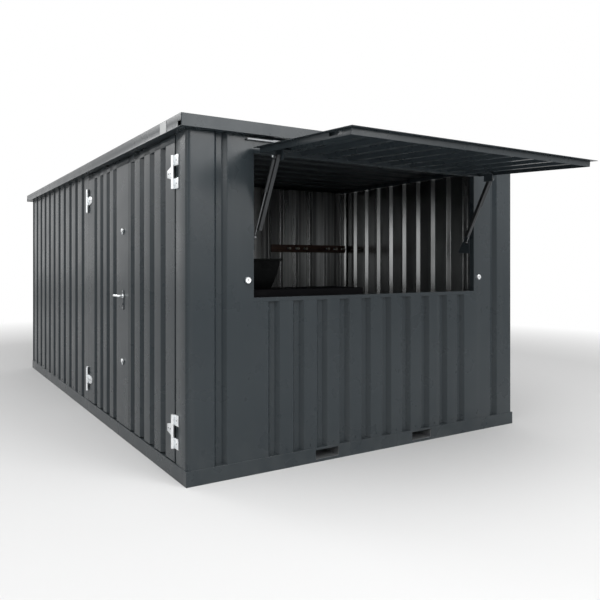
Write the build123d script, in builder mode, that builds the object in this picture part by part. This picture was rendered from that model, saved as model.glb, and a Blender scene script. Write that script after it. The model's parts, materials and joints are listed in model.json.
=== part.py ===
"""Container bar: a steel container with a serving hatch in its front end and double doors in its left side.

Millimetres, +Z up, +X to the right along the front, +Y towards the rear. The origin is the centre of the
base at ground level. The serving hatch is drawn open, as it stands in use.
"""

import os
from math import cos, radians, sin

from build123d import *

# Overall sizes of the body, measured over the posts and walls
width = 2910.0
length = 4810.0
height = 2180.0

# Base
base_height = 94.0
base_rail_depth = 60.0
base_rail_ledge = 4.0
frame_sheet = 3.0
floor_thickness = 18.0
floor_rise = 6.0
pocket_width = 190.0
pocket_height = 60.0
pocket_spacing = 865.0
joist_width = 50.0
joist_count = 6

# Roof
fascia_height = 75.0
roof_overhang = 60.0
roof_below_fascia = 6.0
top_rail_depth = 50.0
roof_pitch = 240.0
joint_cover_width = 101.0
joint_cover_from_front = 166.0
fascia_notch_length = 45.0
fascia_notch_height = 32.0

# Ribbed sheet of the walls, doors and hatch
sheet = 2.0
groove_width = 85.0
groove_bottom = 38.0
groove_depth = 30.0
rib_pitch = 189.0
right_first_groove = 47.0
rear_rib_pitch = 240.0
rear_groove_width = 95.0
rear_groove_bottom = 45.0
rear_first_groove = 104.0

# Posts, measured over the outside faces
post_face = 28.0
door_side_post = 160.0
plain_post = 70.0
slim_post = 12.0
post_corner_radius = 24.0
rear_door_post = 96.0

# Double doors in the left side
front_door_post = 15.0
front_door_post_recess = 12.0
door_width = 1971.0
door_gap = 8.0
side_leaf_width = 858.0
leaf_sheet = 2.0
leaf_edge_depth = 38.0
leaf_rail_height = 49.0
leaf_foot_height = 35.0
side_leaf_first_groove = 190.0
side_leaf_pitch = 197.0
main_leaf_first_groove = 335.0
main_leaf_pitch = 180.0
leaf_bottom_gap = 7.0
leaf_top_gap = 7.0

# Door hinges
hinge_pin_radius = 5.0
hinge_barrel_radius = 11.0
hinge_barrel_lap = 2.0
hinge_plate = 5.0
hinge_length = 206.0
hinge_middle = 74.0
hinge_knuckle_gap = 1.0
hinge_post_plate = 62.0
hinge_leaf_plate = 112.0
hinge_leaf_tip = 44.0
hinge_leaf_square = 50.0
hinge_below_roof = 235.0
hinge_above_base = 198.0
pin_clearance = 0.1

# Door lock and lever
lock_from_leaf_edge = 128.0
lever_height = 1072.0
lever_reach = 118.0
lever_out = 48.0
lever_bar = 18.0
lever_gap = 1.0
spindle_radius = 10.0
lock_plate_width = 38.0
lock_plate_height = 150.0
lock_plate_thickness = 4.0
lock_plate_above = 45.0
keyhole_drop = 62.0
keyhole_radius = 9.0
upper_lock_height = 1555.0
lower_lock_height = 578.0
door_lock_radius = 24.0
door_lock_out = 16.0

# Serving hatch opening in the front
opening_width = 2000.0
opening_bottom = 1100.0
opening_below_roof = 105.0
jamb_width = 50.0
jamb_depth = 40.0
sill_height = 26.0
strip_groove_shift = 8.5

# Serving hatch
hatch_open_angle = 87.0
hatch_axis_below_roof = 67.0
hatch_start = 12.0
hatch_bottom_lap = 28.0
hatch_side_lap = 18.0
hatch_sheet = 3.0
hatch_wall_gap = 5.0
flange_depth = 36.0
flange_return = 20.0
flange_return_depth = 28.0
flange_side_gap = 8.0
flange_end_gap = 9.0
hatch_rib_depth = 26.0
slot_above_lock = 42.0
slot_length = 75.0
slot_width = 20.0
slot_drop = 13.0
hatch_knuckle_radius = 8.0
hatch_knuckle_lap = 1.0
hatch_pin_radius = 4.0
hatch_hinge_length = 120.0
hatch_hinge_middle = 50.0
hatch_hinges = 3
hatch_hinge_spacing = 800.0
hatch_hinge_plate = 6.0
hatch_hinge_strap = 3.0
hatch_hinge_strap_reach = 60.0
hatch_hinge_plate_top = 8.0

# Gas-spring stays of the hatch, measured in from the side of the opening
stay_reach = 185.0
stay_drop = 75.0
stay_foot_in = 45.0
stay_foot_drop = 558.0
spring_gap = 5.0
tube_radius = 10.0
tube_start = 20.0
tube_length = 205.0
rod_radius = 4.0
rod_inside = 30.0
tube_end_play = 4.0
running_clearance = 0.1
eye_radius = 12.0
eye_width = 12.0
strut_gap = 1.0
strut_width = 24.0
strut_depth = 24.0
strut_sheet = 2.5
strut_length = 480.0
strut_overrun = 16.0
bolt_radius = 5.0
bolt_head_radius = 10.0
bolt_head = 6.0
bracket_gap = 3.0
bracket_sheet = 6.0
bracket_length = 75.0
bracket_foot = 62.0
gusset_sheet = 4.0
gusset_inset = 16.0
gusset_reach = 108.0
gusset_overhang = 14.0
gusset_half_height = 82.0
gusset_foot = 40.0

# Locks beside the hatch
hatch_lock_rise = 110.0
hatch_lock_gap = 8.0
hatch_lock_radius = 20.0
hatch_lock_out = 16.0

# Room divider, counter and fittings
partition_behind_doors = 9.0
counter_length = 905.0
counter_depth = 340.0
counter_rise = 46.0
counter_drop = 22.0
counter_end_gap = 10.0
seat_gap = 0.3
tub_height = 200.0
tub_top_width = 270.0
tub_bottom_width = 190.0
tub_top_depth = 220.0
tub_bottom_depth = 160.0
tub_wall = 4.0
tub_from_counter_end = 12.0
tub_set_back = 60.0
board_length = 970.0
board_height = 80.0
board_thickness = 18.0
board_centre_height = 1478.0
hook_groups = 2
hooks_per_group = 3
hook_spacing = 107.0
hook_group_spacing = 510.0
last_hook_inset = 45.0
hook_radius = 15.0
hook_stem_radius = 6.0
hook_out = 40.0

# Places worked out from the sizes above
x_left = -width / 2
x_right = width / 2
y_front = -length / 2
y_rear = length / 2
fascia_bottom = height - fascia_height
rail_front = y_front - base_rail_ledge
rail_rear = y_rear + base_rail_ledge
rail_left = x_left - base_rail_ledge
rail_right = x_right + base_rail_ledge
wall_bottom = base_height
wall_height = fascia_bottom - base_height
floor_top = base_height + floor_rise
floor_bottom = floor_top - floor_thickness
opening_top = fascia_bottom - opening_below_roof
open_left = -opening_width / 2
open_right = opening_width / 2
jamb_back = y_front + sheet + jamb_depth
front_bay = (width - opening_width) / 2 - post_face

os.makedirs("parts", exist_ok=True)


def block(x0, x1, y0, y1, z0, z1, mode=Mode.ADD):
    """A box between two corners, added to or cut from the piece being built."""
    with Locations(((x0 + x1) / 2, (y0 + y1) / 2, (z0 + z1) / 2)):
        Box(abs(x1 - x0), abs(y1 - y0), abs(z1 - z0), mode=mode)


def centred(middle, pitch, count):
    """Evenly spaced places about a middle."""
    return [middle + (i - (count - 1) / 2) * pitch for i in range(count)]


def spaced(first, pitch, count):
    """Evenly spaced places from a first one."""
    return [first + i * pitch for i in range(count)]


def fitted(span, pitch):
    """As many ribs of this pitch as a span holds, centred on it."""
    return centred(span / 2, pitch, int(span / pitch))


def grooves_from(first, span, pitch, groove=groove_width):
    """As many grooves as fit in a span after a first one."""
    return spaced(first, pitch, 1 + int((span - first - groove / 2) / pitch))


def ribbed(span, centres, thickness=sheet, depth=groove_depth, groove=groove_width, bottom=groove_bottom):
    """Section of a ribbed sheet: flats at zero, grooves inwards, one wall thickness."""
    outside = [(0, 0)]
    for centre in centres:
        outside += [
            (centre - groove / 2, 0),
            (centre - bottom / 2, depth),
            (centre + bottom / 2, depth),
            (centre + groove / 2, 0),
        ]
    outside.append((span, 0))
    inside = [(u, v + thickness) for u, v in reversed(outside)]
    return outside + inside


def finish(piece, name):
    """Labels a piece and writes its file."""
    piece.part.label = name
    export_step(piece.part, f"parts/{name}.step")


# Base rails, folded channels that open inwards, the short ones with two fork pockets
pocket_bottom = floor_bottom - frame_sheet - pocket_height
pocket_centres = centred(0, pocket_spacing, 2)

for name, outside, inwards in (("base_rail_front", rail_front, 1), ("base_rail_rear", rail_rear, -1)):
    with BuildPart() as short_rail:
        back = outside + inwards * base_rail_depth
        web = outside + inwards * frame_sheet
        block(rail_left, rail_right, outside, back, 0, base_height)
        block(
            rail_left + frame_sheet, rail_right - frame_sheet, web, back,
            frame_sheet, base_height - frame_sheet, mode=Mode.SUBTRACT,
        )
        for x in pocket_centres:
            block(
                x - pocket_width / 2, x + pocket_width / 2, outside, web,
                pocket_bottom, pocket_bottom + pocket_height, mode=Mode.SUBTRACT,
            )
    finish(short_rail, name)

with BuildPart() as base_rails_side:
    for outside, inwards in ((rail_left, 1), (rail_right, -1)):
        back = outside + inwards * base_rail_depth
        web = outside + inwards * frame_sheet
        y0 = rail_front + base_rail_depth
        y1 = rail_rear - base_rail_depth
        block(outside, back, y0, y1, 0, base_height)
        block(web, back, y0, y1, frame_sheet, base_height - frame_sheet, mode=Mode.SUBTRACT)
finish(base_rails_side, "base_rails_side")

# Fork tunnels and floor joists
tunnel_half = pocket_width / 2 + frame_sheet
tunnel_bottom = pocket_bottom - frame_sheet
with BuildPart() as fork_tunnels:
    for x in pocket_centres:
        y0 = rail_front + frame_sheet
        y1 = rail_rear - frame_sheet
        block(x - tunnel_half, x + tunnel_half, y0, y1, tunnel_bottom, floor_bottom)
        block(
            x - pocket_width / 2, x + pocket_width / 2, y0, y1,
            pocket_bottom, pocket_bottom + pocket_height, mode=Mode.SUBTRACT,
        )
finish(fork_tunnels, "fork_tunnels")

with BuildPart() as floor_joists:
    joist_ends = (
        (rail_left + base_rail_depth, pocket_centres[0] - tunnel_half),
        (pocket_centres[0] + tunnel_half, pocket_centres[1] - tunnel_half),
        (pocket_centres[1] + tunnel_half, rail_right - base_rail_depth),
    )
    for y in centred(0, length / (joist_count + 1), joist_count):
        for x0, x1 in joist_ends:
            block(x0, x1, y - joist_width / 2, y + joist_width / 2, tunnel_bottom, floor_bottom)
finish(floor_joists, "floor_joists")

with BuildPart() as floor:
    block(
        rail_left + base_rail_depth, rail_right - base_rail_depth,
        rail_front + base_rail_depth, rail_rear - base_rail_depth, floor_bottom, floor_top,
    )
finish(floor, "floor")

# Posts, folded box sections with one rounded corner, that stand on the base rails
post_feet = (
    (x_left, y_front, 1, 1, door_side_post),
    (x_right, y_front, -1, 1, plain_post),
    (x_left, y_rear, 1, -1, slim_post),
    (x_right, y_rear, -1, -1, plain_post),
)
with BuildPart() as corner_posts:
    for x, y, to_x, to_y, side in post_feet:
        radius = min(post_corner_radius, post_face - frame_sheet, side - 2 * frame_sheet)
        with BuildSketch(Plane.XY.offset(wall_bottom)) as post_section:
            with Locations((x + to_x * post_face / 2, y + to_y * side / 2)):
                Rectangle(post_face, side)
            fillet(post_section.vertices().sort_by_distance((x, y))[0], radius)
            offset(amount=-frame_sheet, mode=Mode.SUBTRACT)
        extrude(amount=wall_height)
finish(corner_posts, "corner_posts")

door_front = y_front + door_side_post + front_door_post
door_rear = door_front + door_width
with BuildPart() as door_posts:
    post_start = y_front + door_side_post
    block(
        x_left + front_door_post_recess, x_left + leaf_edge_depth, post_start, door_front,
        wall_bottom, fascia_bottom,
    )
    block(
        x_left, x_left + leaf_edge_depth, door_rear, door_rear + rear_door_post, wall_bottom, fascia_bottom
    )
finish(door_posts, "door_posts")

with BuildPart() as hatch_jambs:
    for x, to_x in ((open_left, -1), (open_right, 1)):
        block(x, x + to_x * jamb_width, y_front + sheet, jamb_back, wall_bottom, fascia_bottom)
        block(
            x + to_x * frame_sheet, x + to_x * (jamb_width - frame_sheet),
            y_front + sheet + frame_sheet, jamb_back - frame_sheet,
            wall_bottom, fascia_bottom, mode=Mode.SUBTRACT,
        )
finish(hatch_jambs, "hatch_jambs")

with BuildPart() as hatch_rails:
    for z0, z1 in ((opening_bottom - sill_height, opening_bottom), (opening_top, fascia_bottom)):
        block(open_left, open_right, y_front, jamb_back, z0, z1)
        block(
            open_left, open_right, y_front + frame_sheet, jamb_back - frame_sheet,
            z0 + frame_sheet, z1 - frame_sheet, mode=Mode.SUBTRACT,
        )
finish(hatch_rails, "hatch_rails")

# Walls of ribbed sheet, each drawn in plan on the base rail and raised to the roof
with BuildPart() as front_wall_sides:
    strip_groove = (front_bay - jamb_width) / 2 + strip_groove_shift
    strips = ((x_left + post_face, strip_groove), (open_right, front_bay - strip_groove))
    for x, centre in strips:
        with BuildSketch(Plane((x, y_front, wall_bottom), x_dir=(1, 0, 0))):
            with BuildLine():
                Polyline(ribbed(front_bay, [centre]), close=True)
            make_face()
        extrude(amount=wall_height)
finish(front_wall_sides, "front_wall_sides")

with BuildPart() as front_wall_lower:
    with BuildSketch(Plane((open_left, y_front, wall_bottom), x_dir=(1, 0, 0))):
        with BuildLine():
            Polyline(ribbed(opening_width, fitted(opening_width, rib_pitch)), close=True)
        make_face()
    extrude(amount=opening_bottom - sill_height - wall_bottom)
finish(front_wall_lower, "front_wall_lower")

left_wall_span = y_rear - slim_post - door_rear - rear_door_post
rear_grooves = grooves_from(rear_first_groove, left_wall_span, rear_rib_pitch, rear_groove_width)
with BuildPart() as left_wall:
    with BuildSketch(Plane((x_left, y_rear - slim_post, wall_bottom), x_dir=(0, -1, 0))):
        with BuildLine():
            Polyline(
                ribbed(
                    left_wall_span, [left_wall_span - u for u in reversed(rear_grooves)],
                    groove=rear_groove_width, bottom=rear_groove_bottom,
                ),
                close=True,
            )
        make_face()
    extrude(amount=wall_height)
finish(left_wall, "left_wall")

side_span = length - 2 * plain_post
with BuildPart() as right_wall:
    with BuildSketch(Plane((x_right, y_front + plain_post, wall_bottom), x_dir=(0, 1, 0))):
        with BuildLine():
            Polyline(ribbed(side_span, grooves_from(right_first_groove, side_span, rib_pitch)), close=True)
        make_face()
    extrude(amount=wall_height)
finish(right_wall, "right_wall")

rear_span = width - 2 * post_face
with BuildPart() as rear_wall:
    with BuildSketch(Plane((x_right - post_face, y_rear, wall_bottom), x_dir=(-1, 0, 0))):
        with BuildLine():
            Polyline(ribbed(rear_span, fitted(rear_span, rib_pitch)), close=True)
        make_face()
    extrude(amount=wall_height)
finish(rear_wall, "rear_wall")

# Room divider of the same sheet, behind the doors
wall_depth = groove_depth + sheet
partition_left = x_left + leaf_edge_depth
partition_span = x_right - wall_depth - partition_left
partition_front = door_rear + partition_behind_doors
with BuildPart() as partition:
    with BuildSketch(Plane((partition_left, partition_front, floor_top), x_dir=(1, 0, 0))):
        with BuildLine():
            Polyline(ribbed(partition_span, fitted(partition_span, rib_pitch)), close=True)
        make_face()
    extrude(amount=fascia_bottom - floor_top)
finish(partition, "partition")

# Top rails, roof sheet and fascias
rail_top = height - roof_below_fascia - wall_depth
with BuildPart() as top_rails_side:
    for x, to_x in ((x_left, 1), (x_right, -1)):
        block(x, x + to_x * top_rail_depth, y_front, y_rear, fascia_bottom, rail_top)
finish(top_rails_side, "top_rails_side")

with BuildPart() as top_rails_end:
    for y, to_y in ((y_front, 1), (y_rear, -1)):
        block(
            x_left + top_rail_depth, x_right - top_rail_depth,
            y, y + to_y * top_rail_depth, fascia_bottom, rail_top,
        )
finish(top_rails_end, "top_rails_end")

roof_length = length + 2 * (roof_overhang - frame_sheet)
roof_width = width + 2 * (roof_overhang - frame_sheet)
with BuildPart() as roof_sheet:
    with BuildSketch(Plane((-roof_width / 2, -roof_length / 2, rail_top), x_dir=(0, 1, 0), z_dir=(1, 0, 0))):
        with BuildLine():
            Polyline(ribbed(roof_length, fitted(roof_length, roof_pitch)), close=True)
        make_face()
    extrude(amount=roof_width)
finish(roof_sheet, "roof_sheet")

eave_x = width / 2 + roof_overhang
eave_y = length / 2 + roof_overhang
with BuildPart() as fascias_side:
    for side in (-1, 1):
        outer = side * eave_x
        inner = outer - side * frame_sheet
        block(outer, inner, -eave_y, eave_y, fascia_bottom, height)
        block(
            inner, side * width / 2, -eave_y + frame_sheet, eave_y - frame_sheet,
            fascia_bottom, fascia_bottom + frame_sheet,
        )
        for end in (-1, 1):
            notch_start = end * (eave_y - frame_sheet)
            block(
                outer, inner, notch_start, notch_start - end * fascia_notch_length,
                fascia_bottom + frame_sheet, fascia_bottom + fascia_notch_height, mode=Mode.SUBTRACT,
            )
finish(fascias_side, "fascias_side")

with BuildPart() as fascias_end:
    for side in (-1, 1):
        outer = side * eave_y
        inner = outer - side * frame_sheet
        block(-eave_x + frame_sheet, eave_x - frame_sheet, outer, inner, fascia_bottom, height)
        block(x_left, x_right, inner, side * length / 2, fascia_bottom, fascia_bottom + frame_sheet)
finish(fascias_end, "fascias_end")

with BuildPart() as fascia_joint_cover:
    y0 = y_front + joint_cover_from_front
    block(
        -eave_x - sheet, -eave_x, y0, y0 + joint_cover_width, fascia_bottom, height - frame_sheet
    )
finish(fascia_joint_cover, "fascia_joint_cover")

# Door leaves: ribbed sheet under a flat top rail, with folded edges and a stiffener along the foot
leaf_bottom = base_height + leaf_bottom_gap
leaf_top = fascia_bottom - leaf_top_gap
side_leaf_front = door_front + door_gap / 2
side_leaf_rear = side_leaf_front + side_leaf_width
main_leaf_front = side_leaf_rear + door_gap
main_leaf_rear = door_rear - door_gap / 2
leaf_back = x_left + leaf_edge_depth
leaves = (
    ("door_side_leaf", side_leaf_front, side_leaf_rear, side_leaf_first_groove, side_leaf_pitch),
    ("door_main_leaf", main_leaf_front, main_leaf_rear, main_leaf_first_groove, main_leaf_pitch),
)
for name, y0, y1, first_groove, pitch in leaves:
    span = y1 - y0
    with BuildPart() as leaf:
        grooves = [span - u for u in reversed(grooves_from(first_groove, span, pitch))]
        with BuildSketch(Plane((x_left, y1, leaf_bottom), x_dir=(0, -1, 0))):
            with BuildLine():
                Polyline(ribbed(span, grooves, leaf_sheet), close=True)
            make_face()
        extrude(amount=leaf_top - leaf_bottom)
        block(x_left, leaf_back, y0, y1, leaf_top - leaf_rail_height, leaf_top)
        block(
            x_left + groove_depth, leaf_back, y0, y1, leaf_bottom, leaf_bottom + leaf_foot_height
        )
        for edge, inwards in ((y0, 1), (y1, -1)):
            block(x_left, leaf_back, edge, edge + inwards * frame_sheet, leaf_bottom, leaf_top)
    finish(leaf, name)

# Door hinges: two plates and outer knuckles on the post, middle knuckle and tapered plate on the leaf
hinge_x = x_left - hinge_plate - hinge_barrel_radius + hinge_barrel_lap
hinge_heights = (base_height + hinge_above_base, fascia_bottom - hinge_below_roof)
knuckle_length = (hinge_length - hinge_middle) / 2 - hinge_knuckle_gap
hinge_lines = ((door_front, -1), (door_rear, 1))


def barrel(x, y, z, radius, length_up, mode=Mode.ADD):
    """An upright round bar from z upwards."""
    with Locations((x, y, z + length_up / 2)):
        Cylinder(radius, length_up, mode=mode)


with BuildPart() as door_hinge_posts:
    for y, to_post in hinge_lines:
        for middle in hinge_heights:
            low = middle - hinge_length / 2
            for z in (low, middle + hinge_length / 2 - knuckle_length):
                barrel(hinge_x, y, z, hinge_barrel_radius, knuckle_length)
                block(x_left - hinge_plate, x_left, y, y + to_post * hinge_post_plate, z, z + knuckle_length)
            barrel(hinge_x, y, low, hinge_pin_radius, hinge_length)
finish(door_hinge_posts, "door_hinge_posts")

leaf_hinges = (("hinge_plates_side_leaf", *hinge_lines[0]), ("hinge_plates_main_leaf", *hinge_lines[1]))
for name, y, to_post in leaf_hinges:
    with BuildPart() as leaf_hinge:
        for middle in hinge_heights:
            z = middle - hinge_middle / 2
            with BuildSketch(Plane((x_left, y, middle), x_dir=(0, -to_post, 0), z_dir=(-1, 0, 0))):
                with BuildLine():
                    Polyline(
                        (door_gap / 2, -hinge_middle / 2), (hinge_leaf_square, -hinge_middle / 2),
                        (hinge_leaf_plate, -hinge_leaf_tip / 2), (hinge_leaf_plate, hinge_leaf_tip / 2),
                        (hinge_leaf_square, hinge_middle / 2), (door_gap / 2, hinge_middle / 2),
                        close=True,
                    )
                make_face()
            extrude(amount=hinge_plate)
            barrel(hinge_x, y, z, hinge_barrel_radius, hinge_middle)
            barrel(hinge_x, y, z, hinge_pin_radius + pin_clearance, hinge_middle, mode=Mode.SUBTRACT)
    finish(leaf_hinge, name)

# Lock plates on the main leaf and the lever handle
lock_y = main_leaf_front + lock_from_leaf_edge
with BuildPart() as door_lock_plates:
    plate_face = x_left - lock_plate_thickness
    block(
        plate_face, x_left, lock_y - lock_plate_width / 2, lock_y + lock_plate_width / 2,
        lever_height + lock_plate_above - lock_plate_height, lever_height + lock_plate_above,
    )
    with Locations(Location((x_left, lock_y, lever_height), (0, 90, 0))):
        Cylinder(spindle_radius + running_clearance, 2 * lock_plate_thickness, mode=Mode.SUBTRACT)
    with Locations(Location((plate_face, lock_y, lever_height - keyhole_drop), (0, 90, 0))):
        Cylinder(keyhole_radius, 2 * lock_plate_thickness)
    for z in (lower_lock_height, upper_lock_height):
        with Locations(Location((x_left - door_lock_out / 2, lock_y, z), (0, 90, 0))):
            Cylinder(door_lock_radius, door_lock_out)
finish(door_lock_plates, "door_lock_plates")

with BuildPart() as door_lever:
    spindle_end = x_left - lever_out
    spindle_start = x_left - lever_gap
    with Locations(Location(((spindle_end + spindle_start) / 2, lock_y, lever_height), (0, 90, 0))):
        Cylinder(spindle_radius, spindle_start - spindle_end)
    block(
        spindle_end, spindle_end + lever_bar, lock_y, lock_y + lever_reach,
        lever_height - lever_bar / 2, lever_height + lever_bar / 2,
    )
finish(door_lever, "door_lever")

# Serving hatch, drawn on its own plane: X as in the row, reach away from its axis, level above the axis
hatch_tilt = radians(hatch_open_angle)
hatch_axis_out = hatch_hinge_plate + hatch_knuckle_radius - hatch_knuckle_lap
hatch_axis_height = fascia_bottom - hatch_axis_below_roof
hatch_reach = hatch_axis_height - opening_bottom + hatch_bottom_lap
hatch_lock_height = opening_bottom + hatch_lock_rise
slot_reach = hatch_axis_height - hatch_lock_height - slot_above_lock
hatch_plane = Plane(
    origin=(0, y_front - hatch_axis_out, hatch_axis_height),
    x_dir=(1, 0, 0),
    z_dir=(0, -cos(hatch_tilt), sin(hatch_tilt)),
)
skin_outside = hatch_wall_gap + hatch_sheet - hatch_axis_out
skin_inside = skin_outside - hatch_sheet
flange_end = skin_inside - flange_depth
flange_left = open_left + flange_side_gap
flange_right = open_right - flange_side_gap
flange_near = hatch_axis_height - opening_top + flange_end_gap
flange_far = hatch_axis_height - opening_bottom - flange_end_gap
field_near = flange_near + hatch_sheet
field_far = flange_far - hatch_sheet
skin_left = open_left - hatch_side_lap
skin_right = open_right + hatch_side_lap


def hatch_block(x0, x1, reach0, reach1, level0, level1, mode=Mode.ADD):
    """A box on the hatch's own plane."""
    with Locations(hatch_plane):
        with Locations(((x0 + x1) / 2, -(reach0 + reach1) / 2, (level0 + level1) / 2)):
            Box(abs(x1 - x0), abs(reach1 - reach0), abs(level1 - level0), mode=mode)


def hatch_point(x, reach, level):
    """A point of the hatch's own plane in the row's frame."""
    return hatch_plane.from_local_coords((x, -reach, level))


with BuildPart() as hatch_skin:
    rib_span = flange_right - flange_left
    rib_start = hatch_point(flange_left, field_far, skin_outside)
    with BuildSketch(Plane(rib_start, x_dir=(1, 0, 0), z_dir=hatch_plane.y_dir)):
        with BuildLine():
            Polyline(
                ribbed(rib_span, fitted(rib_span, rib_pitch), hatch_sheet, hatch_rib_depth),
                close=True,
            )
        make_face()
    extrude(amount=field_far - field_near)
    for reach0, reach1 in ((hatch_start, field_near), (field_far, hatch_reach)):
        hatch_block(skin_left, skin_right, reach0, reach1, skin_inside, skin_outside)
    for x0, x1 in ((skin_left, flange_left), (flange_right, skin_right)):
        hatch_block(x0, x1, field_near, field_far, skin_inside, skin_outside)
finish(hatch_skin, "hatch_skin")

with BuildPart() as hatch_side_flanges:
    for x0, inwards in ((flange_left, 1), (flange_right, -1)):
        x1 = x0 + inwards * hatch_sheet
        hatch_block(x0, x1, flange_near, flange_far, flange_end, skin_inside)
        leg = x0 + inwards * flange_return
        hatch_block(
            leg, leg + inwards * hatch_sheet, field_near, field_far,
            skin_inside - flange_return_depth, skin_inside,
        )
        hatch_block(
            x0, x1, slot_reach - slot_length / 2, slot_reach + slot_length / 2,
            skin_inside - slot_drop - slot_width / 2, skin_inside - slot_drop + slot_width / 2,
            mode=Mode.SUBTRACT,
        )
finish(hatch_side_flanges, "hatch_side_flanges")

with BuildPart() as hatch_long_flanges:
    for reach0, inwards in ((flange_near, 1), (flange_far, -1)):
        hatch_block(
            flange_left + hatch_sheet, flange_right - hatch_sheet,
            reach0, reach0 + inwards * hatch_sheet, flange_end, skin_inside,
        )
finish(hatch_long_flanges, "hatch_long_flanges")


def hatch_pin(x0, x1, reach, level, radius, mode=Mode.ADD):
    """A round bar along X on the hatch's own plane."""
    with Locations(Location(hatch_point((x0 + x1) / 2, reach, level), (0, 90, 0))):
        Cylinder(radius, abs(x1 - x0), mode=mode)


hatch_hinge_places = centred(0, hatch_hinge_spacing, hatch_hinges)
hinge_half = hatch_hinge_length / 2
middle_half = hatch_hinge_middle / 2
with BuildPart() as hatch_hinge_posts:
    for x in hatch_hinge_places:
        clear_height = hatch_axis_height + hatch_knuckle_radius + 4 * hinge_knuckle_gap
        block(
            x - hinge_half, x + hinge_half, y_front - hatch_hinge_plate, y_front,
            clear_height, fascia_bottom - hatch_hinge_plate_top,
        )
        for side in (-1, 1):
            inner = x + side * (middle_half + hinge_knuckle_gap)
            outer = x + side * hinge_half
            block(inner, outer, y_front - hatch_hinge_plate, y_front, hatch_axis_height, clear_height)
            hatch_pin(inner, outer, 0, 0, hatch_knuckle_radius)
        hatch_pin(x - hinge_half, x + hinge_half, 0, 0, hatch_pin_radius)
finish(hatch_hinge_posts, "hatch_hinge_posts")

with BuildPart() as hatch_hinge_straps:
    for x in hatch_hinge_places:
        hatch_pin(x - middle_half, x + middle_half, 0, 0, hatch_knuckle_radius)
        hatch_block(
            x - middle_half, x + middle_half, 0, hatch_hinge_strap_reach,
            skin_outside, skin_outside + hatch_hinge_strap,
        )
        hatch_pin(
            x - middle_half, x + middle_half, 0, 0, hatch_pin_radius + running_clearance, mode=Mode.SUBTRACT
        )
finish(hatch_hinge_straps, "hatch_hinge_straps")

# Stays: a gas spring and a folded strut on each side, from a bracket under the hatch to a gusset on the jamb
stay_head = hatch_point(0, stay_reach, -stay_drop)
stay_foot = Vector(0, y_front + stay_foot_in, hatch_axis_height - stay_foot_drop)
stay_line = stay_foot - stay_head
stay_length = stay_line.length
closed_head = Vector(0, y_front - hatch_axis_out + stay_drop, hatch_axis_height - stay_reach)
spring_stroke = stay_length - (stay_foot - closed_head).length
spring_inset = gusset_inset + gusset_sheet + spring_gap + eye_width / 2
strut_inset = spring_inset + tube_radius + strut_gap + strut_width / 2
bracket_inset = strut_inset + strut_width / 2 + bracket_gap
stay_sides = (("left", open_left, 1), ("right", open_right, -1))


def stay_plane(x):
    """Plane across a stay, at its upper pivot, looking down the stay."""
    return Plane((x, stay_head.Y, stay_head.Z), x_dir=(1, 0, 0), z_dir=stay_line.normalized())


with BuildPart() as hatch_brackets:
    for _, side, inwards in stay_sides:
        plate = side + inwards * bracket_inset
        plate_end = plate + inwards * bracket_sheet
        reach0 = stay_reach - bracket_length / 2
        reach1 = stay_reach + bracket_length / 2
        rib_underside = skin_outside - hatch_rib_depth - hatch_sheet
        hatch_block(plate, plate_end, reach0, reach1, -stay_drop - 2 * bolt_head_radius, rib_underside)
        hatch_block(
            plate, plate_end + inwards * bracket_foot, reach0, reach1,
            rib_underside - bracket_sheet, rib_underside,
        )
        bolt_end = side + inwards * (spring_inset - eye_width / 2 - running_clearance)
        hatch_pin(bolt_end, plate, stay_reach, -stay_drop, bolt_radius)
        hatch_pin(bolt_end - inwards * bolt_head, bolt_end, stay_reach, -stay_drop, bolt_head_radius)
finish(hatch_brackets, "hatch_brackets")

for name, side, inwards in stay_sides:
    spring_x = side + inwards * spring_inset
    strut_x = side + inwards * strut_inset
    eye_half = eye_width / 2
    with BuildPart() as spring_tube:
        with BuildSketch(stay_plane(spring_x).offset(tube_start)):
            Circle(tube_radius)
        extrude(amount=tube_length)
        with BuildSketch(stay_plane(spring_x)):
            Rectangle(eye_width, 2 * rod_radius)
        extrude(amount=tube_start)
        hatch_pin(spring_x - eye_half, spring_x + eye_half, stay_reach, -stay_drop, eye_radius)
        hatch_pin(
            spring_x - eye_half, spring_x + eye_half, stay_reach, -stay_drop,
            bolt_radius + running_clearance, mode=Mode.SUBTRACT,
        )
        with BuildSketch(stay_plane(spring_x).offset(tube_start + tube_length)):
            Circle(rod_radius + running_clearance)
        extrude(amount=-(rod_inside + spring_stroke + tube_end_play), mode=Mode.SUBTRACT)
    finish(spring_tube, f"spring_tube_{name}")

    with BuildPart() as strut:
        with BuildSketch(stay_plane(strut_x).offset(-strut_overrun)):
            Rectangle(strut_width, strut_depth)
            with Locations((0, -strut_sheet)):
                Rectangle(strut_width - 2 * strut_sheet, strut_depth, mode=Mode.SUBTRACT)
        extrude(amount=strut_overrun + strut_length)
        hatch_pin(
            strut_x - strut_width, strut_x + strut_width, stay_reach, -stay_drop,
            bolt_radius + running_clearance, mode=Mode.SUBTRACT,
        )
    finish(strut, f"stay_strut_{name}")

    with BuildPart() as rod:
        with BuildSketch(stay_plane(spring_x).offset(tube_start + tube_length - rod_inside)):
            Circle(rod_radius)
        extrude(amount=stay_length - tube_start - tube_length + rod_inside)
        with Locations(Location((spring_x, stay_foot.Y, stay_foot.Z), (0, 90, 0))):
            Cylinder(eye_radius, eye_width)
            Cylinder(bolt_radius, eye_width + bolt_head)
    finish(rod, f"spring_rod_{name}")

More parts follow.
